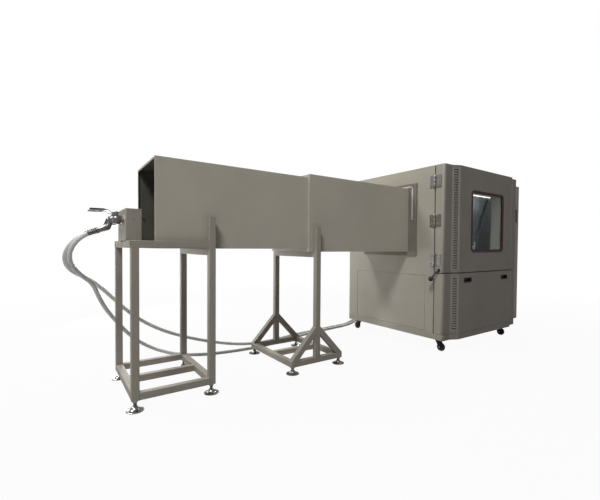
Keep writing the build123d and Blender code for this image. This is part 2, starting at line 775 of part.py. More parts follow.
for name, (x, y, trail) in zip(castor_names, castor_places):
    axle_y = y + trail * castor_trail
    cheek = wheel_width / 2 + wheel_gap
    with BuildPart() as fork:
        with BuildSketch(Plane.XY.offset(crown_top)):
            with Locations((x, y)):
                Circle(crown_radius)
        extrude(amount=swivel_top - crown_top)
        slab(x - cheek - cheek_sheet, x + cheek + cheek_sheet, y - cheek_half, y + cheek_half,
             crown_top - fork_top, crown_top)
        for start in (x - cheek - cheek_sheet, x + cheek):
            with BuildSketch(Plane.YZ.offset(start)):
                shoulder_z = crown_top - 2 * fork_top
                with Locations((y - shoulder_half, shoulder_z), (y + shoulder_half, shoulder_z)):
                    Circle(2 * fork_top)
                with Locations((axle_y, wheel_radius)):
                    Circle(axle_boss_radius)
                make_hull()
            extrude(amount=cheek_sheet)
        slab(x - pedal_half, x + pedal_half, y - trail * pedal_reach, y - trail * pedal_root,
             crown_top - fork_top, crown_top)
        rod((x - cheek - 2 * cheek_sheet, axle_y, wheel_radius),
            (x + cheek + 2 * cheek_sheet, axle_y, wheel_radius), castor_axle_radius)
    keep(f"castor_fork_{name}", fork.part)
    with BuildPart() as wheel:
        with BuildSketch(Plane.XY):
            with BuildLine():
                half = wheel_width / 2
                bore = castor_axle_radius + run_fit
                rim = wheel_radius - rim_depth
                tread = wheel_radius - tread_depth
                edge = wheel_radius - tread_round
                Polyline((bore, -half), (bore, half), (hub_radius, half), (hub_radius + 2, half - rim_recess),
                         (rim, half - rim_recess), (tread, half), (edge, half))
                ThreePointArc((edge, half), (wheel_radius, 0), (edge, -half))
                Polyline((edge, -half), (tread, -half), (rim, rim_recess - half),
                         (hub_radius + 2, rim_recess - half), (hub_radius, -half), (bore, -half))
            make_face()
        revolve(axis=Axis.Y)
    stood = wheel.part.rotate(Axis.Z, 90).moved(Location((x, axle_y, wheel_radius)))
    keep(f"castor_wheel_{name}", stood)


def section_corners(grow):
    """Corners of the inner section's outline across the tunnel, made larger all round."""
    half = tunnel_width / 2 + grow
    low = tunnel_bottom - grow
    high = tunnel_bottom + tunnel_height + grow
    return [(tunnel_y - half, low), (tunnel_y + half, low), (tunnel_y + half, high),
            (tunnel_y - half, high)]


def mitred_plates(x0, x1, outer, inner):
    """Four mitred plates around the tunnel's axis, between an outer and an inner outline."""
    outside = section_corners(outer)
    inside = section_corners(inner)
    plates = []
    for here, after in ((0, 1), (1, 2), (2, 3), (3, 0)):
        with BuildPart() as plate:
            with BuildSketch(Plane.YZ.offset(x0)):
                with BuildLine():
                    Polyline(outside[here], outside[after], inside[after], inside[here], close=True)
                make_face()
            extrude(amount=x1 - x0)
        plates.append(plate.part)
    return plates


# Inner tunnel section of four welded plates, with a folded hem at its mouth and a
# sliding flange inside the sleeve
slide_gap = 1.0
inner_end = sleeve_mouth + sleeve_overlap
flange = sleeve_step - skin - slide_gap
group("tunnel_inner", mitred_plates(tunnel_mouth, inner_end, 0, -skin)
      + mitred_plates(tunnel_mouth, tunnel_mouth + skin, -skin, -mouth_hem)
      + mitred_plates(inner_end - skin, inner_end, flange, 0))

# Outer tunnel section: it sleeves over the inner one and ends in the chamber's left wall
group("tunnel_outer", mitred_plates(sleeve_mouth, sleeve_mouth + skin, sleeve_step, slide_gap)
      + mitred_plates(sleeve_mouth + skin, inner_left + liner_sheet, sleeve_step, sleeve_step - skin))

# Tunnel collar: a flat frame on the left wall around the sleeve
with BuildPart() as tunnel_collar:
    slab(left - collar_thickness, left, tunnel_y - sleeve_width / 2 - collar_front,
         tunnel_y + sleeve_width / 2 + collar_rear, sleeve_bottom - collar_under,
         sleeve_bottom + sleeve_height + collar_over)
    tunnel_hole(left - collar_thickness, left, sleeve_clearance)
keep("tunnel_collar", tunnel_collar.part)


def square_tube(start, end):
    """One length of square tube between two points, with rounded outer corners."""
    run = Vector(*end) - Vector(*start)
    across = (1, 0, 0) if abs(run.X) < 1 else (0, 1, 0)
    with BuildPart() as length:
        with BuildSketch(Plane(origin=start, x_dir=across, z_dir=run)):
            RectangleRounded(tube, tube, tube_corner)
            Rectangle(tube - 2 * tube_wall, tube - 2 * tube_wall, mode=Mode.SUBTRACT)
        extrude(amount=run.length)
    return length.part


def leg(x, y, bottom, top):
    """A square-tube leg with a closed top and a bored plate at its foot."""
    with BuildPart() as upright:
        with BuildSketch(Plane.XY.offset(bottom)):
            with Locations((x, y)):
                RectangleRounded(tube, tube, tube_corner)
        extrude(amount=top - bottom)
        with BuildSketch(Plane.XY.offset(bottom + cap_plate)):
            with Locations((x, y)):
                Rectangle(tube - 2 * tube_wall, tube - 2 * tube_wall)
        extrude(amount=top - bottom - cap_plate - tube_wall, mode=Mode.SUBTRACT)
        rod((x, y, bottom), (x, y, bottom + cap_plate), stem_radius + run_fit, Mode.SUBTRACT)
    return upright.part


# Nozzle stand: four legs, rails at the bottom and top, and two retaining posts
half_tube = tube / 2
stand_left = left - nozzle_stand_reach + half_tube
stand_right = stand_left + nozzle_stand_length - tube
stand_front = tunnel_y - nozzle_stand_width / 2 + half_tube
stand_rear = tunnel_y + nozzle_stand_width / 2 - half_tube
low_rail = nozzle_stand_foot + half_tube
top_rail = nozzle_rail_top - half_tube
saddle_rail = tunnel_bottom - half_tube
nozzle_feet = [(x, y) for x in (stand_left, stand_right) for y in (stand_front, stand_rear)]
frame_1 = []
for x, y in nozzle_feet:
    top = nozzle_rail_top - tube if x == stand_left else retaining_post_top
    frame_1.append(leg(x, y, nozzle_stand_foot, top))
for y in (stand_front, stand_rear):
    frame_1.append(square_tube((stand_left + half_tube, y, low_rail), (stand_right - half_tube, y, low_rail)))
    frame_1.append(square_tube((stand_left - half_tube, y, top_rail), (stand_right - half_tube, y, top_rail)))
for x, z in ((stand_left, low_rail), (stand_right, low_rail), (stand_left, top_rail),
             (stand_right, saddle_rail)):
    frame_1.append(square_tube((x, stand_front + half_tube, z), (x, stand_rear - half_tube, z)))
frame_1.append(square_tube((stand_left + half_tube, tunnel_y, low_rail),
                           (stand_right - half_tube, tunnel_y, low_rail)))
group("nozzle_stand", frame_1)

# Tunnel stand: a base frame, two braced posts and the cross rail under the sleeve
post_x = left - tunnel_stand_centre
base_left = post_x - tunnel_stand_length / 2 + half_tube
base_right = post_x + tunnel_stand_length / 2 - half_tube
base_front = tunnel_y - sleeve_width / 2 - tunnel_side_gap - half_tube
base_rear = tunnel_y + sleeve_width / 2 + tunnel_side_gap + half_tube
base_rail = tunnel_stand_foot + half_tube
base_top = tunnel_stand_foot + tube
tunnel_feet = [(x, y) for x in (base_left, base_right) for y in (base_front, base_rear)]


def brace_outline(side, thickness):
    """Outline of one brace in the X-Z plane, between the base rail and the post."""
    foot_x = base_left - half_tube if side < 0 else base_right + half_tube
    face_x = post_x + side * half_tube
    run = abs(foot_x - face_x)
    slope = atan2(brace_rise, run)
    upright = thickness / 2 / cos(slope)
    level = thickness / 2 / sin(slope)
    mid_up = base_top + brace_rise - tube / 2 / cos(slope)
    mid_foot = foot_x - side * tube / 2 / sin(slope)
    return [
        (face_x, mid_up + upright),
        (face_x, mid_up - upright),
        (mid_foot - side * level, base_top),
        (mid_foot + side * level, base_top),
    ]


def brace(side, y):
    """A square-tube brace with both ends mitred."""
    with BuildPart() as diagonal:
        with BuildSketch(Plane.XZ.offset(-(y + half_tube))):
            with BuildLine():
                Polyline(*brace_outline(side, tube), close=True)
            make_face()
        extrude(amount=tube)
        with BuildSketch(Plane.XZ.offset(-(y + half_tube - tube_wall))):
            with BuildLine():
                Polyline(*brace_outline(side, tube - 2 * tube_wall), close=True)
            make_face()
        extrude(amount=tube - 2 * tube_wall, mode=Mode.SUBTRACT)
    return diagonal.part


frame_2 = []
for y in (base_front, base_rear):
    frame_2.append(square_tube((post_x, y, base_top), (post_x, y, tunnel_post_top)))
    frame_2.append(brace(-1, y))
    frame_2.append(brace(1, y))
    frame_2.append(square_tube((base_left + half_tube, y, base_rail), (base_right - half_tube, y, base_rail)))
for x, y in tunnel_feet:
    frame_2.append(leg(x, y, tunnel_stand_foot, base_top))
for x in (base_left, base_right):
    frame_2.append(square_tube((x, base_front + half_tube, base_rail), (x, base_rear - half_tube, base_rail)))
frame_2.append(square_tube((base_left + half_tube, tunnel_y, base_rail),
                           (base_right - half_tube, tunnel_y, base_rail)))
frame_2.append(square_tube((post_x, base_front + half_tube, sleeve_bottom - half_tube),
                           (post_x, base_rear - half_tube, sleeve_bottom - half_tube)))
group("tunnel_stand", frame_2)


def levelling_foot(x, y, leg_bottom):
    """A turned pad with a threaded stem and a lock nut under the leg."""
    with BuildPart() as foot:
        with BuildSketch(Plane.XZ):
            with BuildLine():
                Polyline((0, 0), (pad_radius, 0), (pad_radius, pad_rim), (pad_radius - 4, pad_rim + 2))
                ThreePointArc((pad_radius - 4, pad_rim + 2), (stem_radius + 14, pad_height - 8),
                              (stem_radius + 6, pad_height))
                Polyline((stem_radius + 6, pad_height), (stem_radius, pad_height + 4),
                         (stem_radius, leg_bottom + stem_rise), (0, leg_bottom + stem_rise), (0, 0))
            make_face()
        revolve(axis=Axis.Z)
        with BuildSketch(Plane.XY.offset(leg_bottom - face_gap - foot_nut_height)):
            RegularPolygon(foot_nut_radius, 6)
        extrude(amount=foot_nut_height)
    return foot.part.moved(Location((x, y, 0)))


corners = ("left_front", "left_rear", "right_front", "right_rear")
for corner, (x, y) in zip(corners, nozzle_feet):
    keep(f"nozzle_stand_foot_{corner}", levelling_foot(x, y, nozzle_stand_foot))
for corner, (x, y) in zip(corners, tunnel_feet):
    keep(f"tunnel_stand_foot_{corner}", levelling_foot(x, y, tunnel_stand_foot))

# Nozzle housing: a sheet box on the nozzle stand's end rail, open underneath
housing_left = stand_left - half_tube
housing_right = housing_left + housing_length
housing_front = tunnel_y - housing_width / 2
housing_back = tunnel_y + housing_width / 2
housing_top = nozzle_rail_top + housing_height
with BuildPart() as nozzle_housing:
    slab(housing_left, housing_right, housing_front, housing_back, nozzle_rail_top, housing_top)
    fillet(nozzle_housing.edges().filter_by(Axis.Z), housing_corner)
    slab(housing_left + skin, housing_right - skin, housing_front + skin, housing_back - skin,
         nozzle_rail_top + 2 * skin, housing_top - skin, Mode.SUBTRACT)
    with BuildSketch(Plane.XZ.offset(-housing_front - skin)):
        with Locations(((housing_left + housing_right) / 2, housing_top - screw_drop)):
            with GridLocations(1, screw_pitch, 1, 2):
                Circle(screw_hole_radius)
    extrude(amount=2 * skin, mode=Mode.SUBTRACT)
    for side in (-1, 1):
        y = tunnel_y + side * nozzle_spacing / 2
        rod((housing_left, y, nozzle_height), (housing_right, y, nozzle_height), nozzle_tube_radius,
            Mode.SUBTRACT)
keep("nozzle_housing", nozzle_housing.part)

# Spray nozzles: turned jets through the housing, with their bores open to the tunnel
jet_reach = 34.0
jet_flange = 6.0
jet_flange_depth = 8.0
jet_tip_wall = 4.0
jets = []
for side, bore in ((-1, large_nozzle_bore), (1, small_nozzle_bore)):
    y = tunnel_y + side * nozzle_spacing / 2
    with BuildPart() as jet:
        with BuildSketch(Plane.XZ.offset(-y)):
            with BuildLine():
                x0 = housing_left
                x1 = housing_right
                x2 = x1 + jet_flange_depth
                hole = nozzle_height + bore / 2
                barrel = nozzle_height + nozzle_tube_radius
                Polyline((x0, hole + jet_tip_wall - 1), (x0, barrel), (x1, barrel), (x1, barrel + jet_flange),
                         (x2, barrel + jet_flange), (x2, barrel - 2), (x1 + jet_reach, hole + jet_tip_wall),
                         (x1 + jet_reach, hole), (x2, hole), close=True)
            make_face()
        revolve(axis=Axis((0, y, nozzle_height), (1, 0, 0)))
    jets.append(jet.part)
group("spray_nozzles", jets)

# Valves: ball-valve bodies with union rings, a drop elbow and the hose coupling
union_length = 14.0
ball_radius = valve_radius + 5.0
bonnet_radius = 10.0
bonnet_height = 14.0
stem_height = 22.0
elbow_tube = 15.0
elbow_ball = 16.0
swivel_radius = 17.0
elbow_out = 18.0
elbow_drop = 46.0
swivel_out = 44.0
swivel_drop = 56.0
coupling_out = 70.0
valves = []
for side in (-1, 1):
    y = tunnel_y + side * nozzle_spacing / 2
    z = nozzle_height
    x = housing_left
    joint_x = x - valve_length
    stem_x = x - valve_stem_setback
    elbow = (joint_x - elbow_out, y, z - elbow_drop)
    swivel = (joint_x - swivel_out, y, z - swivel_drop)
    with BuildPart() as valve:
        rod((x, y, z), (x - union_length, y, z), valve_radius - 2)
        rod((x - union_length, y, z), (joint_x - 2, y, z), valve_radius)
        with Locations((stem_x, y, z)):
            Sphere(ball_radius)
        rod((stem_x, y, z), (stem_x, y, z + valve_radius + bonnet_height), bonnet_radius)
        rod((stem_x, y, z + valve_radius + bonnet_height - 1), (stem_x, y, z + valve_radius + stem_height),
            valve_stem_radius)
        rod((joint_x, y, z), elbow, elbow_tube)
        with Locations((joint_x, y, z)):
            Sphere(elbow_ball)
        with Locations(elbow):
            Sphere(elbow_ball)
        rod(elbow, swivel, swivel_radius)
        rod(swivel, (joint_x - coupling_out, y, z - coupling_drop), elbow_tube)
    valves.append(valve.part)
group("nozzle_valves", valves)

# Valve handles: cranked flat levers on the valve stems, pointing away from the tunnel
handle_sheet = 4.0
handle_rise = 14.0
handle_width = 18.0
handle_nose = 12.0
crank_start = 26.0
crank_end = 44.0
crank_trim = 1.6
grip_length = 78.0
grip_width = 20.0
grip_depth = 8.0
for name, side in (("valve_handle_large", -1), ("valve_handle_small", 1)):
    y = tunnel_y + side * nozzle_spacing / 2
    x = housing_left - valve_stem_setback
    z = nozzle_height + valve_radius + bonnet_height + face_gap
    tip = x - handle_length - handle_end
    raised = z + handle_rise
    with BuildPart() as handle:
        with BuildSketch(Plane.XZ.offset(-(y + handle_width / 2))):
            with BuildLine():
                Polyline((x + handle_nose, z), (x - crank_start, z), (x - crank_end, raised), (tip, raised),
                         (tip, raised + handle_sheet), (x - crank_end - crank_trim, raised + handle_sheet),
                         (x - crank_start - crank_trim, z + handle_sheet),
                         (x + handle_nose, z + handle_sheet), close=True)
            make_face()
        extrude(amount=handle_width)
        with BuildSketch(Plane.XY.offset(raised - (grip_depth - handle_sheet) / 2)):
            with Locations((tip + grip_length / 2, y)):
                SlotOverall(grip_length, grip_width)
        extrude(amount=grip_depth)
        rod((x, y, z - 1), (x, y, z + handle_sheet + 1), valve_stem_radius + run_fit, Mode.SUBTRACT)
    keep(name, handle.part)

# Turntable: a plate with a rim and four tapped holes, on a shaft into the drive
drive_bore_depth = 60.0
with BuildPart() as turntable:
    with BuildSketch(Plane.XZ.offset(-turntable_y)):
        with BuildLine():
            shaft = turntable_shaft_radius
            top = turntable_height
            under = top - turntable_thickness
            Polyline((middle, deck_bottom - drive_bore_depth + 2), (middle, top),
                     (middle + turntable_radius, top), (middle + turntable_radius, under - 8),
                     (middle + turntable_radius - 6, under - 8), (middle + turntable_radius - 6, under),
                     (middle + 3 * shaft, under), (middle + 2 * shaft, under - 20),
                     (middle + shaft, under - 24), (middle + shaft, deck_bottom - drive_bore_depth + 2),
                     close=True)
        make_face()
    revolve(axis=Axis((middle, turntable_y, 0), (0, 0, 1)))
    with BuildSketch(Plane.XY.offset(top)):
        with Locations((middle, turntable_y)):
            with PolarLocations(turntable_holes_pcd / 2, 4, 45):
                Circle(turntable_hole_radius)
    extrude(amount=-turntable_thickness, mode=Mode.SUBTRACT)
keep("turntable", turntable.part)

# Turntable drive under the deck: gearbox with the shaft's bore, and its motor
with BuildPart() as turntable_drive:
    rod((middle, turntable_y, deck_bottom), (middle, turntable_y, deck_bottom - 90), 60)
    rod((middle, turntable_y, deck_bottom - 60), (middle + 210, turntable_y, deck_bottom - 60), 42)
    rod((middle, turntable_y, deck_bottom), (middle, turntable_y, deck_bottom - drive_bore_depth),
        turntable_shaft_radius + run_fit, Mode.SUBTRACT)
keep("turntable_drive", turntable_drive.part)

# Water tank and pump in the machine compartment
tank_left = left + 2 * wall_depth
tank_rear = rear - 2 * wall_depth
tank_floor = castor_height + skin
tank_wall = 5.0
tank_corner = 30.0
with BuildPart() as water_tank:
    slab(tank_left, tank_left + tank_width, tank_rear - tank_depth, tank_rear, tank_floor,
         tank_floor + tank_height)
    fillet(water_tank.edges().filter_by(Axis.Z), tank_corner)
    offset(amount=-tank_wall, openings=water_tank.faces().sort_by(Axis.Z)[-1])
keep("water_tank", water_tank.part)

pump_x = right - 4 * wall_depth - 90
pump_y = rear - 320.0
pump_z = tank_floor + 90.0
with BuildPart() as pump_set:
    rod((pump_x, pump_y, pump_z), (pump_x, pump_y - 230, pump_z), 65)
    rod((pump_x, pump_y, pump_z), (pump_x, pump_y + 60, pump_z), 84)
    rod((pump_x, pump_y + 30, pump_z), (pump_x, pump_y + 30, pump_z + 130), 20)
    slab(pump_x - 70, pump_x + 70, pump_y - 200, pump_y - 40, tank_floor, pump_z - 40)
keep("pump_set", pump_set.part)

# Rear outlets: two elbows that send the hoses along the rear wall, and their clamps
outlets = []
outlet_exits = []
elbow_radius = hose_diameter / 2 + 4
for row in range(2):
    z = outlet_height + row * outlet_spacing + tray_height
    y = rear + outlet_stand_off
    with BuildPart() as outlet:
        with BuildLine() as bend:
            FilletPolyline((outlet_x, rear - wall_depth + skin, z), (outlet_x, y, z),
                           (outlet_x - 74, y, z), radius=34)
        with BuildSketch(Plane(origin=bend.line @ 0, z_dir=bend.line % 0)):
            Circle(hose_diameter / 2)
        sweep()
        rod((outlet_x, rear, z), (outlet_x, rear + 8, z), elbow_radius + 6)
        rod((outlet_x - 38, y, z), (outlet_x - 74, y, z), elbow_radius)
    outlets.append(outlet.part)
    outlet_exits.append((outlet_x - 74, y, z))
group("hose_outlets", outlets)

# Water inlet: a threaded socket low on the rear wall
inlet_proud = 12.0
with BuildPart() as water_inlet:
    inlet_face = rear + inlet_proud
    rod((inlet_x, inlet_face - inlet_length - 4, inlet_height), (inlet_x, inlet_face, inlet_height),
        inlet_radius + inlet_wall)
    rod((inlet_x, inlet_face - inlet_length, inlet_height), (inlet_x, inlet_face, inlet_height),
        inlet_radius, Mode.SUBTRACT)
keep("water_inlet", water_inlet.part)

# Control cabinet on the right wall, with the screen, stop button and main switch
control_front = front + control_setback
control_left = right
control_right = right + control_width
control_x = (control_left + control_right) / 2
control_corner = 8.0
stop_shaft_radius = 11.0
stop_head_radius = 20.0
stop_head_depth = 18.0
switch_shaft_radius = 6.0
switch_dial_radius = 26.0
switch_dial_depth = 12.0
switch_grip_depth = 18.0
switch_grip_width = 14.0
switch_grip_length = 48.0
control_shaft_depth = 30.0
bezel_width = 8.0
bezel_depth = 4.0
with BuildPart() as control_cabinet:
    slab(control_left, control_right, control_front, control_front + control_depth, control_bottom,
         control_top)
    fillet(control_cabinet.edges().filter_by(Axis.Z).sort_by(Axis.X)[-2:], control_corner)
    slab(control_left + skin, control_right - skin, control_front + skin,
         control_front + control_depth - skin, control_bottom + skin, control_top - skin, Mode.SUBTRACT)
    rod((control_left, cable_passage_y, cable_passage_height),
        (control_left + skin, cable_passage_y, cable_passage_height), cable_passage_radius,
        Mode.SUBTRACT)
    slab(control_x - screen_width / 2, control_x + screen_width / 2, control_front,
         control_front + skin, screen_centre_height - screen_height / 2,
         screen_centre_height + screen_height / 2, Mode.SUBTRACT)
    for z, radius in ((stop_button_height, stop_shaft_radius), (main_switch_height, switch_shaft_radius)):
        rod((control_x, control_front, z), (control_x, control_front + skin, z), radius + run_fit,
            Mode.SUBTRACT)
keep("control_cabinet", control_cabinet.part)

with BuildPart() as control_screen:
    with BuildSketch(Plane.XZ.offset(-control_front)):
        with Locations((control_x, screen_centre_height)):
            RectangleRounded(screen_width + 2 * bezel_width, screen_height + 2 * bezel_width, bezel_width - 2)
    extrude(amount=bezel_depth)
    slab(control_x - screen_width / 2, control_x + screen_width / 2, control_front,
         control_front + control_shaft_depth, screen_centre_height - screen_height / 2,
         screen_centre_height + screen_height / 2)
keep("control_screen", control_screen.part)

with BuildPart() as stop_button:
    stop_head_back = control_front - stop_travel - 2
    rod((control_x, control_front + control_shaft_depth, stop_button_height),
        (control_x, stop_head_back - stop_travel, stop_button_height), stop_shaft_radius)
    rod((control_x, stop_head_back, stop_button_height),
        (control_x, stop_head_back - stop_head_depth, stop_button_height), stop_head_radius)
    fillet(stop_button.faces().sort_by(Axis.Y)[0].edges(), stop_travel)
keep("stop_button", stop_button.part)

with BuildPart() as main_switch:
    dial_front = control_front - switch_dial_depth
    rod((control_x, control_front + control_shaft_depth, main_switch_height),
        (control_x, dial_front + 8, main_switch_height), switch_shaft_radius)
    rod((control_x, control_front - face_gap, main_switch_height),
        (control_x, dial_front, main_switch_height), switch_dial_radius)
    slab(control_x - switch_grip_width / 2, control_x + switch_grip_width / 2,
         dial_front - switch_grip_depth, dial_front + 1, main_switch_height - switch_grip_length / 2,
         main_switch_height + switch_grip_length / 2)
keep("main_switch", main_switch.part)


def hose_route(points):
    """The path of one hose: straight runs joined by arcs as large as they allow."""
    radii = []
    for before, here, after in zip(points, points[1:], points[2:]):
        run_in = Vector(*here) - Vector(*before)
        run_out = Vector(*after) - Vector(*here)
        turn = radians(run_in.get_angle(run_out))
        radii.append(0.45 * min(run_in.length, run_out.length) / tan(turn / 2))
    return radii


def hose(name, points):
    """One supply hose as a plain round tube along its route."""
    radii = hose_route(points)
    with BuildPart() as pipe:
        with BuildLine() as path:
            FilletPolyline(*points, radius=radii)
        with BuildSketch(Plane(origin=path.line @ 0, z_dir=path.line % 0)):
            Circle(hose_diameter / 2)
        sweep()
    length = sum(edge.length for edge in path.edges())
    section = pi * hose_diameter**2 / 4
    print(name, "length", round(length), "volume ratio", round(pipe.part.volume / section / length, 4),
          "smallest radius", round(min(radii)), "radii", [round(r) for r in radii])
    keep(name, pipe.part)


def place(points):
    """Route points measured from the cabinet's left wall and front margin, on the floor."""
    return [(left + x, front + y, z) for x, y, z in points]


# Hose routes: out of the coupling, round in a loop behind the nozzle stand, down to the
# floor, behind the tunnel stand and up to the rear outlets
floor_run = hose_diameter / 2 + 0.5
small_route = [
    (-2404, 691, 970), (-2461.2, 691, 948), (-2511, 708, 910), (-2543, 739, 861), (-2553, 780, 811),
    (-2540, 822, 762), (-2503, 863, 719), (-2439, 898, 685), (-2352, 946, 612), (-2258, 1000, 508),
    (-2160, 1040, 403), (-2040, 1072, 308), (-1890, 1098, 222), (-1700, 1120, 144), (-1495, 1132, 78),
    (-1290, 1130, 32), (-1090, 1135, floor_run), (-880, 1168, floor_run), (-620, 1228, floor_run),
    (-340, 1252, floor_run), (-80, 1288, floor_run), (55, 1297, floor_run), (140, 1288, 34),
    (206, 1268, 78), (258, 1248, 132), (304, 1230, 188), (352, 1212, 238), (408, 1206, 262),
    (466, 1206, 262),
]
large_route = [
    (-2404, 561, 970), (-2453.4, 561, 951), (-2498, 572, 915), (-2525, 592, 871), (-2534, 619, 822),
    (-2523, 649, 774), (-2482, 692, 718), (-2412, 742, 660), (-2372, 838, 556), (-2325, 908, 466),
    (-2268, 966, 385), (-2190, 1030, 277), (-2092, 1082, 178), (-1965, 1112, 95),
    (-1825, 1114, 38), (-1645, 1074, floor_run), (-1440, 1034, floor_run),
    (-1220, 1020, floor_run), (-960, 1054, floor_run), (-680, 1146, floor_run),
    (-390, 1202, floor_run), (-130, 1232, floor_run), (5, 1250, floor_run), (100, 1250, 22),
    (172, 1240, 46), (226, 1228, 83), (276, 1216, 128), (328, 1209, 170), (390, 1206, 198),
    (452, 1206, 198),
]
hose("hose_small", place(small_route))
hose("hose_large", place(large_route))
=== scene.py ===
from math import atan2, cos, pi, radians, sin

import bmesh
import bpy
from bpy.props import FloatProperty, FloatVectorProperty, PointerProperty
from mathutils import Matrix, Vector


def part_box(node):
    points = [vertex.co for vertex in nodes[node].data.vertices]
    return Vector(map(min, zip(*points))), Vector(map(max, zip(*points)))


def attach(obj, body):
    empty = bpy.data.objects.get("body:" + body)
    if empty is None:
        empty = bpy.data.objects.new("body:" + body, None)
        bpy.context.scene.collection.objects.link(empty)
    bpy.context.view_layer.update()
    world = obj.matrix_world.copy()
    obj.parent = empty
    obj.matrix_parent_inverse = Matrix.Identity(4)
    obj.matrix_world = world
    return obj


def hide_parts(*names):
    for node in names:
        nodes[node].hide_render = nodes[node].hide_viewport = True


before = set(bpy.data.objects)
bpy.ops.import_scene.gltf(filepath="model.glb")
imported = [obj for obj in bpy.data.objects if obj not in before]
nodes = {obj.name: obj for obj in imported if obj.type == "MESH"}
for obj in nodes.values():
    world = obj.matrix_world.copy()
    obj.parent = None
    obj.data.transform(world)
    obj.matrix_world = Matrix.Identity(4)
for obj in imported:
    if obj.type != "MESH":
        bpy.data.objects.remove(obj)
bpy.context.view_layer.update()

bl_info = {
    "name": "Environmental Test Chamber",
    "version": (1, 0, 0),
    "blender": (4, 5, 0),
    "location": "View3D > Sidebar > Test Chamber",
    "description": "Finishes and fittings of a water-jet test chamber on its CAD frame",
    "category": "Object",
}

corner_names = ("front_left", "front_right", "rear_left", "rear_right")
foot_names = ("left_front", "left_rear", "right_front", "right_rear")


def corners(cad_node):
    """Low and high corner of a CAD node's box."""
    return tuple(Vector(corner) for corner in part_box(cad_node))


def centre_of(cad_node):
    """Middle of a CAD node's box."""
    low, high = corners(cad_node)
    return (low + high) / 2


left_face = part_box("left_wall")[0][0]
right_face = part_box("right_wall")[1][0]
panel_setback = 0.179
front_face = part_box("side_access_panel")[0][1] - panel_setback


# Sizes and colours that a user may change


class ChamberSizes(bpy.types.PropertyGroup):
    """Sizes of the fittings."""

    edge_radius: FloatProperty(
        name="Edge radius", description="Rounding of the folded sheet's edges",
        default=0.0012, min=0.0, unit="LENGTH")
    hose_diameter: FloatProperty(
        name="Hose diameter", description="Outside diameter of both supply hoses",
        default=0.025, min=0.01, unit="LENGTH")
    screw_radius: FloatProperty(
        name="Screw radius", description="Radius of a pan head on hinges and collar",
        default=0.0052, min=0.002, unit="LENGTH")
    bead_width: FloatProperty(
        name="Weld width", description="Thickness of the weld beads on the stands",
        default=0.0022, min=0.001, unit="LENGTH")


class ChamberColours(bpy.types.PropertyGroup):
    """Colours of the finishes."""

    paint: FloatVectorProperty(
        name="Cabinet paint", description="Powder coat of cabinet and tunnel",
        default=(0.395, 0.366, 0.308), min=0.0, max=1.0, subtype="COLOR")
    # Cabinet paint darkened as painted shade for the forward faces of door, lower panel and base
    # tray
    shaded_front_paint: FloatVectorProperty(
        name="Door paint", description="Powder coat of the door and lower panel",
        default=(0.24, 0.221, 0.197), min=0.0, max=1.0, subtype="COLOR")
    stand_paint: FloatVectorProperty(
        name="Stand paint", description="Powder coat of the stands",
        default=(0.34, 0.312, 0.262), min=0.0, max=1.0, subtype="COLOR")
    hose: FloatVectorProperty(
        name="Hose", description="Woven cover of the hoses",
        default=(0.80, 0.795, 0.78), min=0.0, max=1.0, subtype="COLOR")
    rubber_trim: FloatVectorProperty(
        name="Window rubber", description="Rubber section round the window",
        default=(0.045, 0.012, 0.011), min=0.0, max=1.0, subtype="COLOR")


class ChamberStage(bpy.types.PropertyGroup):
    """Levels of the studio."""

    key_power: FloatProperty(
        name="Key light", description="Power of the big lamp at the front left", default=820.0,
        min=0.0, unit="POWER")
    ambient: FloatProperty(
        name="Ambient", description="Strength of the light from all round", default=0.05,
        min=0.0, max=2.0, subtype="FACTOR")


# Selecting and shaping, as by hand


def deselect():
    """Leave edit mode and select nothing."""
    if bpy.context.object and bpy.context.object.mode == "EDIT":
        bpy.ops.object.mode_set(mode="OBJECT")
    bpy.ops.object.select_all(action="DESELECT")


def take(piece):
    """Make one piece the active and only selected one."""
    deselect()
    piece.select_set(True)
    bpy.context.view_layer.objects.active = piece


def named(name):
    """Name the piece that was just added, and its mesh."""
    piece = bpy.context.object
    piece.name = name
    piece.data.name = name
    return piece


def nudge(piece, test, value):
    """Move those vertices of a piece whose places pass a test."""
    take(piece)
    bpy.ops.object.mode_set(mode="EDIT")
    mesh = bmesh.from_edit_mesh(piece.data)
    bpy.ops.mesh.select_all(action="DESELECT")
    bpy.context.tool_settings.mesh_select_mode = (True, False, False)
    for vertex in mesh.verts:
        vertex.select_set(test(vertex.co))
    mesh.select_flush_mode()
    bmesh.update_edit_mesh(piece.data)
    bpy.ops.transform.translate(value=value)
    bpy.ops.object.mode_set(mode="OBJECT")
    return piece


def settle(piece):
    """Put a piece's place into its mesh."""
    take(piece)
    bpy.ops.object.transform_apply(location=True, rotation=True, scale=True)
    return piece


def smooth(piece, angle=35):
    """Shade a piece smooth up to an angle, in degrees."""
    take(piece)
    bpy.ops.object.shade_smooth_by_angle(angle=radians(angle))
    return piece


def add_modifier(piece, kind, **settings):
    """Add a modifier with its settings."""
    modifier = piece.modifiers.new(kind.title(), kind)
    for key, value in settings.items():
        setattr(modifier, key, value)


def finish_piece(piece, material, body):
    """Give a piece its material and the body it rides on."""
    piece.data.materials.clear()
    piece.data.materials.append(material)
    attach(piece, body)


def joined(name, made):
    """Join several pieces into one and name it."""
    deselect()
    for one in made:
        one.select_set(True)
    bpy.context.view_layer.objects.active = made[0]
    if len(made) > 1:
        bpy.ops.object.join()
    return named(name)


def copies(master, name, places):
    """One piece made of copies of a master, each with its own mesh, at the given places."""
    made = []
    for place in places:
        one = master.copy()
        one.data = master.data.copy()
        one.data.transform(place)
        bpy.context.scene.collection.objects.link(one)
        made.append(one)
    return joined(name, made)


def facing(direction, at):
    """Place a part that was modelled pointing up so that it points along a direction."""
    aim = Vector(direction).to_track_quat("Z", "Y").to_matrix().to_4x4()
    return Matrix.Translation(Vector(at)) @ aim


def discard(piece):
    """Delete a master after its copies are made."""
    bpy.data.objects.remove(piece, do_unlink=True)


# Shared effects of the finishes


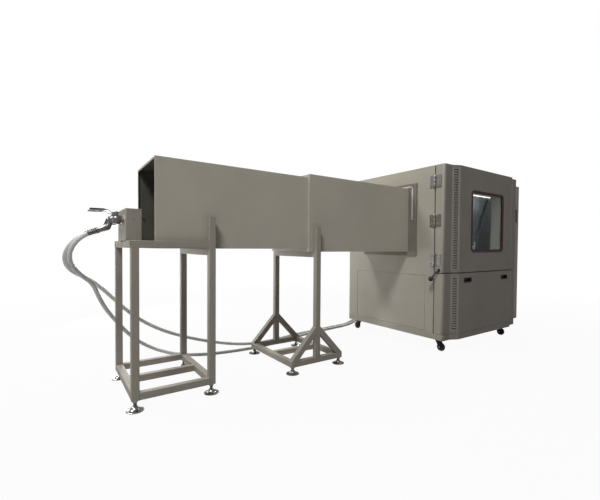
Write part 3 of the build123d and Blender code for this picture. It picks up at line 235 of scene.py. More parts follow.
def effect(name, inputs, outputs):
    """Start a shader node group with named inputs and outputs."""
    group = bpy.data.node_groups.new(name, "ShaderNodeTree")
    for label, kind, value in inputs:
        socket = group.interface.new_socket(label, in_out="INPUT", socket_type=kind)
        socket.default_value = value
    for label, kind in outputs:
        group.interface.new_socket(label, in_out="OUTPUT", socket_type=kind)
    return group, group.nodes.new("NodeGroupInput"), group.nodes.new("NodeGroupOutput")


def feed(tree, socket, value):
    """Link a value to a socket, or set the socket to it where it is plain."""
    if isinstance(value, bpy.types.NodeSocket):
        tree.links.new(value, socket)
    else:
        socket.default_value = value


def node(tree, kind, **values):
    """Add a shader node. A value sets the property of its name, or else feeds the input of
    its name; i0, i1 and so on count the inputs."""
    made = tree.nodes.new(kind)
    for key, value in values.items():
        if hasattr(made, key):
            setattr(made, key, value)
            continue
        counted = key[0] == "i" and key[1:].isdigit()
        socket = made.inputs[int(key[1:]) if counted else key.replace("_", " ")]
        feed(tree, socket, value)
    return made


def maths(tree, operation, *values, clamp=False):
    """A Math node's result."""
    made = tree.nodes.new("ShaderNodeMath")
    made.operation = operation
    made.use_clamp = clamp
    for socket, value in zip(made.inputs, values):
        feed(tree, socket, value)
    return made.outputs[0]


def object_place(tree):
    """The shaded point in the object's own coordinates."""
    return node(tree, "ShaderNodeTexCoord").outputs["Object"]


def noise(tree, vector, scale, detail, roughness=0.5):
    """A noise texture's value."""
    return node(tree, "ShaderNodeTexNoise", Vector=vector, Scale=scale, Detail=detail,
                Roughness=roughness).outputs[0]


def make_effects():
    """The node groups that several finishes share."""
    scalar = "NodeSocketFloat"

    # Powder coat: a fine pebbled height and a slow drift of tone
    group, given, result = effect(
        "pebbled_coat", [("Grain", scalar, 900.0), ("Drift", scalar, 2.2)],
        [("Height", scalar), ("Tone", scalar)])
    place = object_place(group)
    fine = noise(group, place, given.outputs["Grain"], 2.0)
    slow = noise(group, place, given.outputs["Drift"], 4.0, 0.6)
    group.links.new(fine, result.inputs["Height"])
    group.links.new(slow, result.inputs["Tone"])

    # Wear and painted highlight: bright edges found by the Bevel node, broken up by noise
    group, given, result = effect(
        "rubbed_and_lit_edges", [("Radius", scalar, 0.003), ("Amount", scalar, 0.5)], [("Mask", scalar)])
    rounded = node(group, "ShaderNodeBevel", samples=4, Radius=given.outputs["Radius"]).outputs[0]
    sharp = node(group, "ShaderNodeNewGeometry").outputs["Normal"]
    dot = node(group, "ShaderNodeVectorMath", operation="DOT_PRODUCT", i0=rounded, i1=sharp)
    edge = maths(group, "SUBTRACT", 1.0, dot.outputs["Value"], clamp=True)
    edge = maths(group, "MULTIPLY", edge, 7.0, clamp=True)
    place = object_place(group)
    broken = maths(group, "MULTIPLY", edge, noise(group, place, 38.0, 4.0), clamp=True)
    mask = maths(group, "MULTIPLY", broken, given.outputs["Amount"], clamp=True)
    group.links.new(mask, result.inputs["Mask"])

    # Dust: settles low down and on faces that look up
    group, given, result = effect(
        "settled_dust", [("Amount", scalar, 0.3), ("Reach", scalar, 0.5)], [("Mask", scalar)])
    place = object_place(group)
    height = node(group, "ShaderNodeSeparateXYZ", Vector=place).outputs["Z"]
    share = maths(group, "DIVIDE", height, given.outputs["Reach"])
    low = maths(group, "SUBTRACT", 1.0, share, clamp=True)
    normal = node(group, "ShaderNodeNewGeometry").outputs["Normal"]
    up = node(group, "ShaderNodeSeparateXYZ", Vector=normal).outputs["Z"]
    both = maths(group, "ADD", maths(group, "MULTIPLY", low, 0.6), maths(group, "MAXIMUM", up, 0.0),
                 clamp=True)
    patchy = maths(group, "MULTIPLY", both, noise(group, place, 9.0, 5.0, 0.65))
    mask = maths(group, "MULTIPLY", patchy, given.outputs["Amount"], clamp=True)
    group.links.new(mask, result.inputs["Mask"])

    # Brushing: fine streaks along one direction, with a few longer scratches
    group, given, result = effect(
        "brushed_streaks",
        [("Across", "NodeSocketVector", (2.0, 2.0, 320.0)), ("Scratches", scalar, 0.4)],
        [("Height", scalar), ("Streak", scalar)])
    place = object_place(group)
    across = node(group, "ShaderNodeVectorMath", operation="MULTIPLY", i0=place,
                  i1=given.outputs["Across"]).outputs[0]
    streak = noise(group, across, 1.0, 5.0, 0.7)
    marks = maths(group, "GREATER_THAN", noise(group, across, 0.35, 2.0), 0.66)
    deep = maths(group, "MULTIPLY", marks, given.outputs["Scratches"])
    height = maths(group, "SUBTRACT", streak, deep)
    group.links.new(height, result.inputs["Height"])
    group.links.new(streak, result.inputs["Streak"])


def group_node(tree, name, **values):
    """Place a shared effect in a material with its own values."""
    made = tree.nodes.new("ShaderNodeGroup")
    made.node_tree = bpy.data.node_groups[name]
    for key, value in values.items():
        made.inputs[key].default_value = value
    return made


def start_material(name):
    """A new material with its tree and main shader."""
    material = bpy.data.materials.new(name)
    material.use_nodes = True
    return material, material.node_tree, material.node_tree.nodes["Principled BSDF"]


def blend_colour(tree, factor, first, second):
    """Mix two colours; each may be a link or a plain colour."""
    mix = tree.nodes.new("ShaderNodeMix")
    mix.data_type = "RGBA"
    tree.links.new(factor, mix.inputs["Factor"])
    for socket, value in ((mix.inputs["A"], first), (mix.inputs["B"], second)):
        if isinstance(value, bpy.types.NodeSocket):
            tree.links.new(value, socket)
        else:
            socket.default_value = (*value[:3], 1.0)
    return mix.outputs["Result"]


def shade(colour, factor):
    """A lighter or darker version of a colour."""
    return tuple(min(1.0, channel * factor) for channel in colour[:3])


def spread(tree, value, low, high):
    """Map the middle of a 0 to 1 value, where noise lies, between two limits."""
    return node(tree, "ShaderNodeMapRange", Value=value, From_Min=0.3, From_Max=0.7,
                To_Min=low, To_Max=high).outputs["Result"]


def bump(tree, shader, height, strength, distance):
    """Feed a height to a shader's normal."""
    made = node(tree, "ShaderNodeBump", Height=height, Strength=strength, Distance=distance)
    tree.links.new(made.outputs[0], shader.inputs["Normal"])


def surface(tree, shader, colour, roughness, **constants):
    """Link a shader's colour and roughness, and set others of its inputs to constants."""
    tree.links.new(colour, shader.inputs["Base Color"])
    tree.links.new(roughness, shader.inputs["Roughness"])
    for name, value in constants.items():
        shader.inputs[name.replace("_", " ")].default_value = value


# Finishes


def powder_coat(name, colour, grain=900.0, wear_and_edge_light=0.35, dust=0.25):
    """Matt textured powder coat with drifting tone, bright edges as wear and painted highlight, and
    dust.
    """
    material, tree, shader = start_material(name)
    coat = group_node(tree, "pebbled_coat", Grain=grain)
    edges = group_node(tree, "rubbed_and_lit_edges", Amount=wear_and_edge_light)
    settled = group_node(tree, "settled_dust", Amount=dust, Reach=0.5)
    tone = spread(tree, coat.outputs["Tone"], 0.0, 1.0)
    body = blend_colour(tree, tone, shade(colour, 0.94), shade(colour, 1.06))
    # Edges lightened, partly as wear and partly as painted highlight
    worn_and_lit = blend_colour(tree, edges.outputs["Mask"], body, shade(colour, 1.7))
    dusty = blend_colour(tree, settled.outputs["Mask"], worn_and_lit, (0.34, 0.32, 0.28))
    surface(tree, shader, dusty, spread(tree, coat.outputs["Height"], 0.42, 0.58),
            Specular_IOR_Level=0.22)
    bump(tree, shader, coat.outputs["Height"], 0.25, 0.0004)
    return material


def side_lit_coat(name, front, side):
    """Powder coat with painted shade: darker where it faces forwards than on the folded sides."""
    material = powder_coat(name, front)
    tree = material.node_tree
    shader = tree.nodes["Principled BSDF"]
    forwards = shader.inputs["Base Color"].links[0].from_socket
    own = node(tree, "ShaderNodeTexCoord").outputs
    place, normal = own["Object"], own["Normal"]
    across = node(tree, "ShaderNodeSeparateXYZ", Vector=normal).outputs["X"]
    sideways = maths(tree, "ABSOLUTE", across)
    drift = blend_colour(tree, noise(tree, place, 2.2, 4.0), shade(side, 0.95), shade(side, 1.05))
    turned_away = node(tree, "ShaderNodeMapRange", Value=sideways)
    turned_away.inputs["From Min"].default_value = 0.55
    turned_away.inputs["From Max"].default_value = 0.95
    # Painted shade: forward faces take the darker front colour, sideways faces the lighter side
    # colour
    tree.links.new(blend_colour(tree, turned_away.outputs["Result"], forwards, drift),
                   shader.inputs["Base Color"])
    return material


def tunnel_coat(name, colour):
    """The given powder coat outside, and painted shade inside the tunnel, dark and streaked by
    noise.
    """
    # Strong edge lightening here paints the highlights along the tunnel's edges
    material = powder_coat(name, colour, wear_and_edge_light=0.9, dust=0.12)
    tree = material.node_tree
    shader = tree.nodes["Principled BSDF"]
    outer = shader.inputs["Base Color"].links[0].from_socket
    place = object_place(tree)
    off = node(tree, "ShaderNodeVectorMath", operation="SUBTRACT", i0=place,
               i1=centre_of("tunnel_inner")).outputs[0]
    away = node(tree, "ShaderNodeSeparateXYZ", Vector=off)
    normal = node(tree, "ShaderNodeSeparateXYZ",
                  Vector=node(tree, "ShaderNodeNewGeometry").outputs["Normal"])
    facing_in = maths(tree, "ADD", maths(tree, "MULTIPLY", away.outputs["Y"], normal.outputs["Y"]),
                      maths(tree, "MULTIPLY", away.outputs["Z"], normal.outputs["Z"]))
    # Painted shade: faces turned in towards the tunnel's middle get a dark, streaked colour
    inside = maths(tree, "LESS_THAN", facing_in, -0.05)
    drawn = node(tree, "ShaderNodeMapping", Vector=place, Scale=(1.5, 9.0, 3.0)).outputs[0]
    shade_streaks = noise(tree, drawn, 2.0, 5.0)
    inner_shade = blend_colour(tree, shade_streaks, shade(colour, 0.16), shade(colour, 0.30))
    tree.links.new(blend_colour(tree, inside, outer, inner_shade), shader.inputs["Base Color"])
    return material


def brushed_steel(name, colour, across=(2.0, 2.0, 320.0), rough=(0.24, 0.42)):
    """Brushed stainless steel with streaks across one direction."""
    material, tree, shader = start_material(name)
    streaks = group_node(tree, "brushed_streaks", Across=across, Scratches=0.3)
    tone = spread(tree, streaks.outputs["Streak"], 0.0, 1.0)
    surface(tree, shader, blend_colour(tree, tone, shade(colour, 0.86), shade(colour, 1.1)),
            spread(tree, streaks.outputs["Streak"], *rough), Metallic=1.0)
    bump(tree, shader, streaks.outputs["Height"], 0.12, 0.0003)
    return material


def plated(name, colour, rough):
    """Chrome or nickel plate with smudges, and edges lightened as wear and painted highlight."""
    material, tree, shader = start_material(name)
    coat = group_node(tree, "pebbled_coat", Grain=60.0, Drift=18.0)
    edges = group_node(tree, "rubbed_and_lit_edges", Radius=0.0015, Amount=0.6)
    tone = spread(tree, coat.outputs["Tone"], 0.0, 1.0)
    body = blend_colour(tree, tone, shade(colour, 0.85), colour)
    surface(tree, shader, blend_colour(tree, edges.outputs["Mask"], body, shade(colour, 1.15)),
            spread(tree, coat.outputs["Tone"], *rough), Metallic=1.0)
    bump(tree, shader, coat.outputs["Height"], 0.05, 0.0002)
    return material


def moulded(name, colour, rough=(0.35, 0.5), grain=1400.0, wear_and_edge_light=0.25, dust=0.12):
    """Moulded plastic with a fine spark texture."""
    material, tree, shader = start_material(name)
    coat = group_node(tree, "pebbled_coat", Grain=grain, Drift=14.0)
    edges = group_node(tree, "rubbed_and_lit_edges", Radius=0.0015, Amount=wear_and_edge_light)
    settled = group_node(tree, "settled_dust", Amount=dust, Reach=0.3)
    tone = spread(tree, coat.outputs["Tone"], 0.0, 1.0)
    body = blend_colour(tree, tone, shade(colour, 0.85), shade(colour, 1.15))
    # Edges lightened, partly as wear and partly as painted highlight
    worn_and_lit = blend_colour(tree, edges.outputs["Mask"], body, shade(colour, 2.4))
    dusty = blend_colour(tree, settled.outputs["Mask"], worn_and_lit, (0.30, 0.28, 0.25))
    surface(tree, shader, dusty, spread(tree, coat.outputs["Height"], *rough))
    bump(tree, shader, coat.outputs["Height"], 0.3, 0.0003)
    return material


def clear_glass(name):
    """Toughened window glass with a faint film of wiped water marks."""
    material, tree, shader = start_material(name)
    place = object_place(tree)
    film = noise(tree, place, 7.0, 6.0, 0.7)
    surface(tree, shader, blend_colour(tree, film, (0.80, 0.86, 0.86), (0.90, 0.94, 0.94)),
            spread(tree, film, 0.0, 0.06), Transmission_Weight=1.0, IOR=1.1)
    return material


def lamp_glass(name, strength):
    """Opal diffuser of a lamp, which glows."""
    material, tree, shader = start_material(name)
    coat = group_node(tree, "pebbled_coat", Grain=300.0, Drift=20.0)
    tone = spread(tree, coat.outputs["Tone"], 0.0, 1.0)
    body = blend_colour(tree, tone, (0.80, 0.80, 0.76), (0.90, 0.90, 0.86))
    tree.links.new(body, shader.inputs["Base Color"])
    tree.links.new(body, shader.inputs["Emission Color"])
    shader.inputs["Emission Strength"].default_value = strength
    shader.inputs["Roughness"].default_value = 0.3
    bump(tree, shader, coat.outputs["Height"], 0.2, 0.0006)
    return material


def woven_hose(name, colour):
    """Hose cover: a crossed braid under a thin clear skin, along the hose's own length."""
    phase_along, strands = 1400.0, 9
    material, tree, shader = start_material(name)
    uv = node(tree, "ShaderNodeTexCoord").outputs["UV"]
    parts = node(tree, "ShaderNodeSeparateXYZ", Vector=uv)
    along = maths(tree, "MULTIPLY", parts.outputs["X"], phase_along)
    around = maths(tree, "MULTIPLY", parts.outputs["Y"], 2 * pi * strands)
    one = maths(tree, "SINE", maths(tree, "ADD", along, around))
    two = maths(tree, "SINE", maths(tree, "SUBTRACT", along, around))
    braid = maths(tree, "MULTIPLY", maths(tree, "ADD", one, two), 0.25)
    braid = maths(tree, "ADD", braid, 0.5)
    place = object_place(tree)
    grime = noise(tree, place, 6.0, 4.0, 0.6)
    body = blend_colour(tree, braid, shade(colour, 0.86), shade(colour, 1.08))
    grimy = blend_colour(tree, spread(tree, grime, 0.0, 0.35), body, shade(colour, 0.72))
    surface(tree, shader, grimy, spread(tree, grime, 0.34, 0.5), Coat_Weight=0.08)
    bump(tree, shader, braid, 0.05, 0.0003)
    return material


def sheet_plastic(name, colour):
    """Glossy dark screen with smears on its glass."""
    material, tree, shader = start_material(name)
    place = object_place(tree)
    smear = noise(tree, place, 22.0, 5.0, 0.7)
    surface(tree, shader, blend_colour(tree, smear, colour, shade(colour, 1.8)),
            spread(tree, smear, 0.06, 0.22))
    return material


finishes = {}


def ease_edges(cad_node, width):
    """Round a CAD node's edges with modifiers, and leave its mesh alone."""
    piece = nodes[cad_node]
    add_modifier(piece, "WELD", merge_threshold=0.00002)
    add_modifier(piece, "BEVEL", width=width, segments=2, limit_method="ANGLE",
                 angle_limit=radians(38), harden_normals=True)


def coat(material, *cad_nodes, edge=None):
    """Give CAD nodes a finish, and rounded edges if a radius is given."""
    for name in cad_nodes:
        slots = nodes[name].data.materials
        if not slots:
            slots.append(finishes[material])
        for index in range(len(slots)):
            slots[index] = finishes[material]
        if edge:
            ease_edges(name, edge)


class CHAMBER_OT_finishes(bpy.types.Operator):
    """Make every finish and put it on the CAD nodes"""

    bl_idname = "chamber.finishes"
    bl_label = "Finishes"

    def execute(self, context):
        colours = context.scene.chamber_colours
        radius = context.scene.chamber_sizes.edge_radius
        make_effects()
        finishes.update(
            paint=powder_coat("cabinet_powder_coat", colours.paint),
            # The door finish paints shade on the forward faces and keeps the folded sides lighter
            door=side_lit_coat("door_coat_shaded_front", colours.shaded_front_paint, shade(colours.paint, 0.92)),
            # The tunnel's coat is the cabinet paint made lighter, as painted light on the tunnel's
            # lit faces
            tunnel=tunnel_coat("tunnel_coat_painted_light", shade(colours.paint, 1.22)),
            collar=powder_coat("collar_powder_coat", shade(colours.paint, 0.5)),
            # Ribs and louvre lips carry the shaded front paint made lighter, as painted highlight
            # on the folds
            rib=powder_coat("louvre_coat_painted_highlight", shade(colours.shaded_front_paint, 1.5)),
            grip_dark=moulded("dark_grip", (0.03, 0.03, 0.032), dust=0.0),
            grip_light=moulded("light_grip", (0.36, 0.36, 0.35), dust=0.0),
            stand=powder_coat("stand_powder_coat", colours.stand_paint, wear_and_edge_light=0.5),
            weld=powder_coat("painted_weld", shade(colours.stand_paint, 0.92), grain=500.0),
            lining=brushed_steel("lining_steel", (0.40, 0.42, 0.45)),
            turned=brushed_steel("turned_steel", (0.58, 0.58, 0.57), (400.0, 2.0, 2.0)),
            hinge=brushed_steel("hinge_steel", (0.36, 0.35, 0.33), (2.0, 260.0, 2.0), (0.35, 0.5)),
            drive=brushed_steel("cast_drive", (0.42, 0.43, 0.44), (90.0, 90.0, 90.0), (0.45, 0.6)),
            chrome=plated("foot_chrome", (0.46, 0.455, 0.44), (0.20, 0.34)),
            nickel=plated("valve_nickel", (0.26, 0.255, 0.25), (0.26, 0.42)),
            zinc=plated("zinc_screw", (0.48, 0.48, 0.46), (0.25, 0.42)),
            black_paint=powder_coat("black_enamel", (0.022, 0.022, 0.023), wear_and_edge_light=0.3, dust=0.15),
            black=moulded("black_moulding", (0.022, 0.021, 0.021)),
            tread=moulded("wheel_rubber", (0.028, 0.027, 0.026), (0.55, 0.75), 500.0, 0.1, 0.4),
            trim=moulded("window_rubber", colours.rubber_trim, (0.4, 0.55), 800.0, 0.1),
            seal=moulded("silicone_seal", (0.52, 0.52, 0.49), (0.4, 0.55), 300.0, 0.0),
            tank=moulded("tank_plastic", (0.62, 0.63, 0.62), (0.4, 0.6), 200.0, 0.0),
            pump=powder_coat("pump_enamel", (0.05, 0.12, 0.20), 300.0),
            red=moulded("red_moulding", (0.42, 0.015, 0.012), (0.22, 0.35)),
            green=moulded("green_lens", (0.03, 0.24, 0.06), (0.12, 0.2)),
            amber=moulded("amber_lens", (0.5, 0.22, 0.02), (0.12, 0.2)),
            screen=sheet_plastic("screen_glass", (0.012, 0.016, 0.02)),
            glass=clear_glass("window_glass"),
            lamp=lamp_glass("lamp_diffuser", 18.0),
            strip=lamp_glass("strip_diffuser", 2.0),
            blade=moulded("wiper_rubber", (0.006, 0.006, 0.007), (0.6, 0.8), 800.0, 0.0, 0.0),
            hose=woven_hose("woven_hose", colours.hose))
        coat("paint", "left_wall", "right_wall", "rear_wall", "top_cover",
             "side_access_panel", "control_cabinet", edge=radius)
        coat("collar", "tunnel_collar", edge=radius)
        coat("door", "door_shell", "lower_front_panel", "base_tray", edge=radius)
        coat("tunnel", "tunnel_inner", "tunnel_outer", edge=radius * 0.7)
        coat("stand", "nozzle_stand", "tunnel_stand", "nozzle_housing", edge=radius)
        coat("lining", "inner_lining", "chamber_floor", edge=radius * 0.7)
        coat("turned", "turntable", "spray_nozzles", edge=radius)
        coat("hinge", "hinge_leaves_fixed", "hinge_leaves_door", edge=radius)
        coat("drive", "wiper_drive", "turntable_drive", edge=radius * 1.5)
        coat("nickel", "nozzle_valves", "hose_outlets", "water_inlet", edge=radius)
        coat("nickel", "valve_handle_large", "valve_handle_small", edge=radius * 0.6)
        coat("black", "side_lever", "door_latch", "panel_pulls", "main_switch", edge=radius)
        forks = [f"castor_fork_{corner}" for corner in corner_names]
        coat("black_paint", "window_wiper", "castor_plates", *forks, edge=radius * 0.6)
        coat("tread", *[f"castor_wheel_{corner}" for corner in corner_names], edge=radius)
        for stand in ("nozzle_stand_foot", "tunnel_stand_foot"):
            coat("chrome", *[f"{stand}_{corner}" for corner in foot_names], edge=radius * 0.6)
        coat("trim", "window_trim", edge=radius)
        coat("seal", "door_gasket")
        coat("glass", "window_panes")
        coat("lamp", "chamber_lamp")
        coat("tank", "water_tank", edge=radius)
        coat("pump", "pump_set", edge=radius * 2)
        coat("screen", "control_screen", edge=radius)
        coat("red", "stop_button", edge=radius * 0.5)
        coat("hose", "hose_large", "hose_small")
        return {"FINISHED"}


# Supply hoses: out of the coupling, down in a loop, over the floor and up to the rear outlets


def hose_points(points):
    """Route points from the cabinet's left front corner, in the frame's metres."""
    shift = Vector((left_face, front_face, 0))
    return [Vector((x, y, z)) / 1000 + shift for x, y, z in points]


floor_run = 13.0
small_route = [
    (-2404, 691, 970), (-2461.2, 691, 948), (-2511, 708, 910), (-2543, 739, 861), (-2553, 780, 811),
    (-2540, 822, 762), (-2503, 863, 719), (-2439, 898, 685), (-2352, 946, 612), (-2258, 1000, 508),
    (-2160, 1040, 403), (-2040, 1072, 308), (-1890, 1098, 222), (-1700, 1120, 144),
    (-1495, 1132, 78), (-1290, 1130, 32), (-1090, 1135, floor_run), (-880, 1168, floor_run),
    (-620, 1228, floor_run), (-340, 1252, floor_run), (-80, 1288, floor_run), (55, 1297, floor_run),
    (140, 1288, 34), (206, 1268, 78), (258, 1248, 132), (304, 1230, 188), (352, 1212, 238),
    (408, 1206, 262), (466, 1206, 262),
]
large_route = [
    (-2404, 561, 970), (-2453.4, 561, 951), (-2498, 572, 915), (-2525, 592, 871), (-2534, 619, 822),
    (-2523, 649, 774), (-2482, 692, 718), (-2412, 742, 660), (-2372, 838, 556), (-2325, 908, 466),
    (-2268, 966, 385), (-2190, 1030, 277), (-2092, 1082, 178), (-1965, 1112, 95), (-1825, 1114, 38),
    (-1645, 1074, floor_run), (-1440, 1034, floor_run), (-1220, 1020, floor_run),
    (-960, 1054, floor_run), (-680, 1146, floor_run), (-390, 1202, floor_run),
    (-130, 1232, floor_run), (5, 1250, floor_run), (100, 1250, 22), (172, 1240, 46),
    (226, 1228, 83), (276, 1216, 128), (328, 1209, 170), (390, 1206, 198), (452, 1206, 198),
]


def hose(name, cad_node, route, length, diameter):
    """One supply hose on a smooth line."""
    line = bpy.data.curves.new(name, "CURVE")
    line.dimensions = "3D"
    line.bevel_depth = diameter / 2
    line.bevel_resolution = 5
    line.resolution_u = 8
    spline = line.splines.new("NURBS")
    spline.points.add(len(route) - 1)
    for point, place in zip(spline.points, hose_points(route)):
        point.co = (*place, 1.0)
    spline.order_u = 3
    spline.use_endpoint_u = True
    piece = bpy.data.objects.new(name, line)
    bpy.context.scene.collection.objects.link(piece)
    line.materials.append(finishes["hose"])
    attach(piece, "chamber")
    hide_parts(cad_node)


class CHAMBER_OT_hoses(bpy.types.Operator):
    """Lay both supply hoses"""

    bl_idname = "chamber.hoses"
    bl_label = "Supply hoses"

    def execute(self, context):
        diameter = context.scene.chamber_sizes.hose_diameter
        hose("small_hose", "hose_small", small_route, 3.72, diameter)
        hose("large_hose", "hose_large", large_route, 3.81, diameter)
        return {"FINISHED"}


# Fittings: turned and folded small parts, modelled once and copied


def turned(name, profile, steps=28, angle=40):
    """A part turned about Z from a profile of (radius, height) points, drawn point by point."""
    deselect()
    bpy.ops.mesh.primitive_plane_add(size=0.001)
    bpy.ops.object.mode_set(mode="EDIT")
    bpy.ops.mesh.select_all(action="SELECT")
    bpy.ops.mesh.merge(type="CENTER")
    bpy.ops.transform.translate(value=(profile[0][0], 0, profile[0][1]))
    for before, after in zip(profile, profile[1:]):
        step = (after[0] - before[0], 0, after[1] - before[1])
        bpy.ops.mesh.extrude_vertices_move(TRANSFORM_OT_translate={"value": step})
    bpy.ops.mesh.select_all(action="SELECT")
    bpy.ops.mesh.spin(steps=steps, angle=2 * pi, center=(0, 0, 0), axis=(0, 0, 1))
    bpy.ops.mesh.select_all(action="SELECT")
    bpy.ops.mesh.remove_doubles(threshold=0.00001)
    bpy.ops.mesh.normals_make_consistent(inside=False)
    bpy.ops.object.mode_set(mode="OBJECT")
    return smooth(named(name), angle)


def block(name, low, high, rounding=0.0, segments=2):
    """A block between two corners with rounded edges."""
    deselect()
    low, high = Vector(low), Vector(high)
    bpy.ops.mesh.primitive_cube_add(size=1, location=(low + high) / 2, scale=high - low)
    piece = settle(named(name))
    if rounding:
        bpy.ops.object.mode_set(mode="EDIT")
        bpy.ops.mesh.select_all(action="SELECT")
        bpy.ops.mesh.bevel(offset=rounding, segments=segments, affect="EDGES")
        bpy.ops.object.mode_set(mode="OBJECT")
    return smooth(piece)


def socket_screw(radius):
    """A pan head with a round drive socket, its seat at the origin."""
    return turned("screw_master", [
        (0.0, radius * 0.25), (radius * 0.42, radius * 0.25), (radius * 0.42, radius * 0.62),
        (radius * 0.55, radius * 0.66), (radius * 0.86, radius * 0.5), (radius, radius * 0.2),
        (radius, -0.0003)], steps=20)


def hex_nut(radius, height, bore):
    """A hexagon nut with chamfered corners and a bore, its seat at the origin."""
    return turned("nut_master", [
        (bore, 0.0), (radius, 0.0), (radius, height * 0.82), (radius * 0.9, height), (bore, height),
        (bore, 0.0)], steps=6, angle=20)


def scatter(master, name, places, material, body):
    """Copies of a master at the given places, as one finished piece; the master goes."""
    finish_piece(copies(master, name, places), finishes[material], body)
    discard(master)


def at_each(name, master, groups, material):
    """One piece per body, each made of copies of the same master."""
    for body, places in groups.items():
        finish_piece(copies(master, f"{name}_{body}", places), finishes[material], body)
    discard(master)


out_left, out_right = (-1, 0, 0), (1, 0, 0)
out_front, out_rear = (0, -1, 0), (0, 1, 0)
up, down = (0, 0, 1), (0, 0, -1)
hinge_heights = (0.782, 1.113, 1.440)
hinge_line_y = -0.505


class CHAMBER_OT_hinges(bpy.types.Operator):
    """Screws and pin caps of the three hinges"""

    bl_idname = "chamber.hinges"
    bl_label = "Hinge screws and caps"

    def execute(self, context):
        leaf_x, pin_x = left_face - 0.006, left_face - 0.010
        screw_rise, half_pin = 0.03, 0.05
        screw_rows = (("chamber", hinge_line_y + 0.030), ("door", hinge_line_y - 0.036))
        screws = {body: [] for body, _ in screw_rows}
        pin_ends = []
        for z in hinge_heights:
            for rise in (-screw_rise, screw_rise):
                for body, y in screw_rows:
                    screws[body].append(facing(out_left, (leaf_x, y, z + rise)))
            pin_ends.append(facing(up, (pin_x, hinge_line_y, z + half_pin)))
            pin_ends.append(facing(down, (pin_x, hinge_line_y, z - half_pin)))
        screw = socket_screw(context.scene.chamber_sizes.screw_radius)
        at_each("hinge_screws", screw, screws, "zinc")
        cap = turned("cap_master", [(0.0, 0.0042), (0.003, 0.0038), (0.0062, 0.002),
                                    (0.0076, -0.0002)])
        scatter(cap, "hinge_pin_caps", pin_ends, "zinc", "chamber")
        return {"FINISHED"}


class CHAMBER_OT_collar(bpy.types.Operator):
    """Screws and silicone seal of the tunnel's collar, and sleeve rivets"""

    bl_idname = "chamber.collar"
    bl_label = "Collar screws and seal"

    def execute(self, context):
        low, high = corners("tunnel_collar")
        inset, rear_inset = 0.016, 0.009
        rows = (low.z + inset, (low.z + high.z) / 2, high.z - inset)
        places = [facing(out_left, (low.x, y, z))
                  for y in (low.y + inset, high.y - rear_inset) for z in rows]
        screw = socket_screw(context.scene.chamber_sizes.screw_radius * 0.8)
        scatter(screw, "collar_screws", places, "zinc", "chamber")

        width, proud, rounding = 0.015, 0.005, 0.0018
        fall, run = 0.32, 0.30
        start, top = low.y + 0.034, high.z - 0.021
        upright = block("seal_upright", (low.x - proud, start, high.z - fall),
                        (low.x, start + width, top), rounding, 3)
        across = block("seal_across", (low.x - proud, start, top - width),
                       (low.x, start + run, top), rounding, 3)
        finish_piece(joined("collar_seal", [upright, across]), finishes["seal"], "chamber")

        low, high = corners("tunnel_outer")
        rivet = turned("rivet_master", [(0.0, 0.0016), (0.0014, 0.0015), (0.0028, 0.0008),
                                        (0.0034, -0.0002)], steps=14)
        x, per_side = low.x + 0.022, 5
        places = []
        for part in range(per_side):
            share = (part + 0.5) / per_side
            z = low.z + share * (high.z - low.z)
            y = low.y + share * (high.y - low.y)
            places += [facing(out_front, (x, low.y, z)), facing(out_rear, (x, high.y, z)),
                       facing(up, (x, y, high.z))]
        scatter(rivet, "sleeve_rivets", places, "tunnel", "chamber")
        return {"FINISHED"}


def weld_bead(width):
    """A run of overlapping weld scales along X, at the origin."""
    length, scales = 0.034, 11
    made = []
    for step in range(scales):
        deselect()
        place = (step + 0.5) * length / scales - length / 2
        bpy.ops.mesh.primitive_uv_sphere_add(
            segments=8, ring_count=5, radius=width, location=(place, 0, 0),
            rotation=(0, radians(90), 0), scale=(1, 1, 0.8))
        made.append(bpy.context.object)
    return smooth(settle(joined("bead_master", made)), 60)


def along(axis, at):
    """Lay a bead modelled along X in another direction."""
    turn = {"x": Matrix(), "y": Matrix.Rotation(radians(90), 4, "Z")}[axis]
    return Matrix.Translation(Vector(at)) @ turn


half_tube = 0.020


def post_lines(stand):
    """Middles of a stand's outer posts: left and right in X, front and rear in Y."""
    low, high = corners(stand)
    return low.x + half_tube, high.x - half_tube, low.y + half_tube, high.y - half_tube


class CHAMBER_OT_welds(bpy.types.Operator):
    """Weld beads in the inner corners of both stands"""

    bl_idname = "chamber.welds"
    bl_label = "Stand welds"

    def execute(self, context):
        half = half_tube
        width = context.scene.chamber_sizes.bead_width
        left, right, front, rear = post_lines("nozzle_stand")
        base, side_rail, end_rail = 0.077, 0.894, 0.851
        places = []
        for y in (front, rear):
            for x in (left + half, right - half):
                for z in (base - half, base + half):
                    places.append(along("y", (x, y, z)))
            places += [along("y", (right - half, y, side_rail + half)),
                       along("y", (right - half, y, side_rail - half)),
                       along("y", (left + half, y, side_rail - half))]
        for x, z in ((left, base), (right, base), (left, side_rail), (right, end_rail)):
            for y in (front + half, rear - half):
                for edge in (-half, half):
                    places.append(along("x", (x, y, z + edge)))
        scatter(weld_bead(width), "nozzle_stand_welds", places, "weld", "chamber")

        left, right, front, rear = post_lines("tunnel_stand")
        post = (left + right) / 2
        base, saddle = 0.067, 0.830
        places = []
        for y, inner in ((front, front + half), (rear, rear - half)):
            for x in (left, right):
                for edge in (-half, half):
                    places.append(along("x", (x, inner, base + edge)))
            for edge in (-half, half):
                places.append(along("y", (post + edge, y, base + half)))
                places.append(along("x", (post, inner, saddle + edge)))
            places.append(along("x", (post, inner, base + half)))
        scatter(weld_bead(width), "tunnel_stand_welds", places, "weld", "chamber")
        return {"FINISHED"}


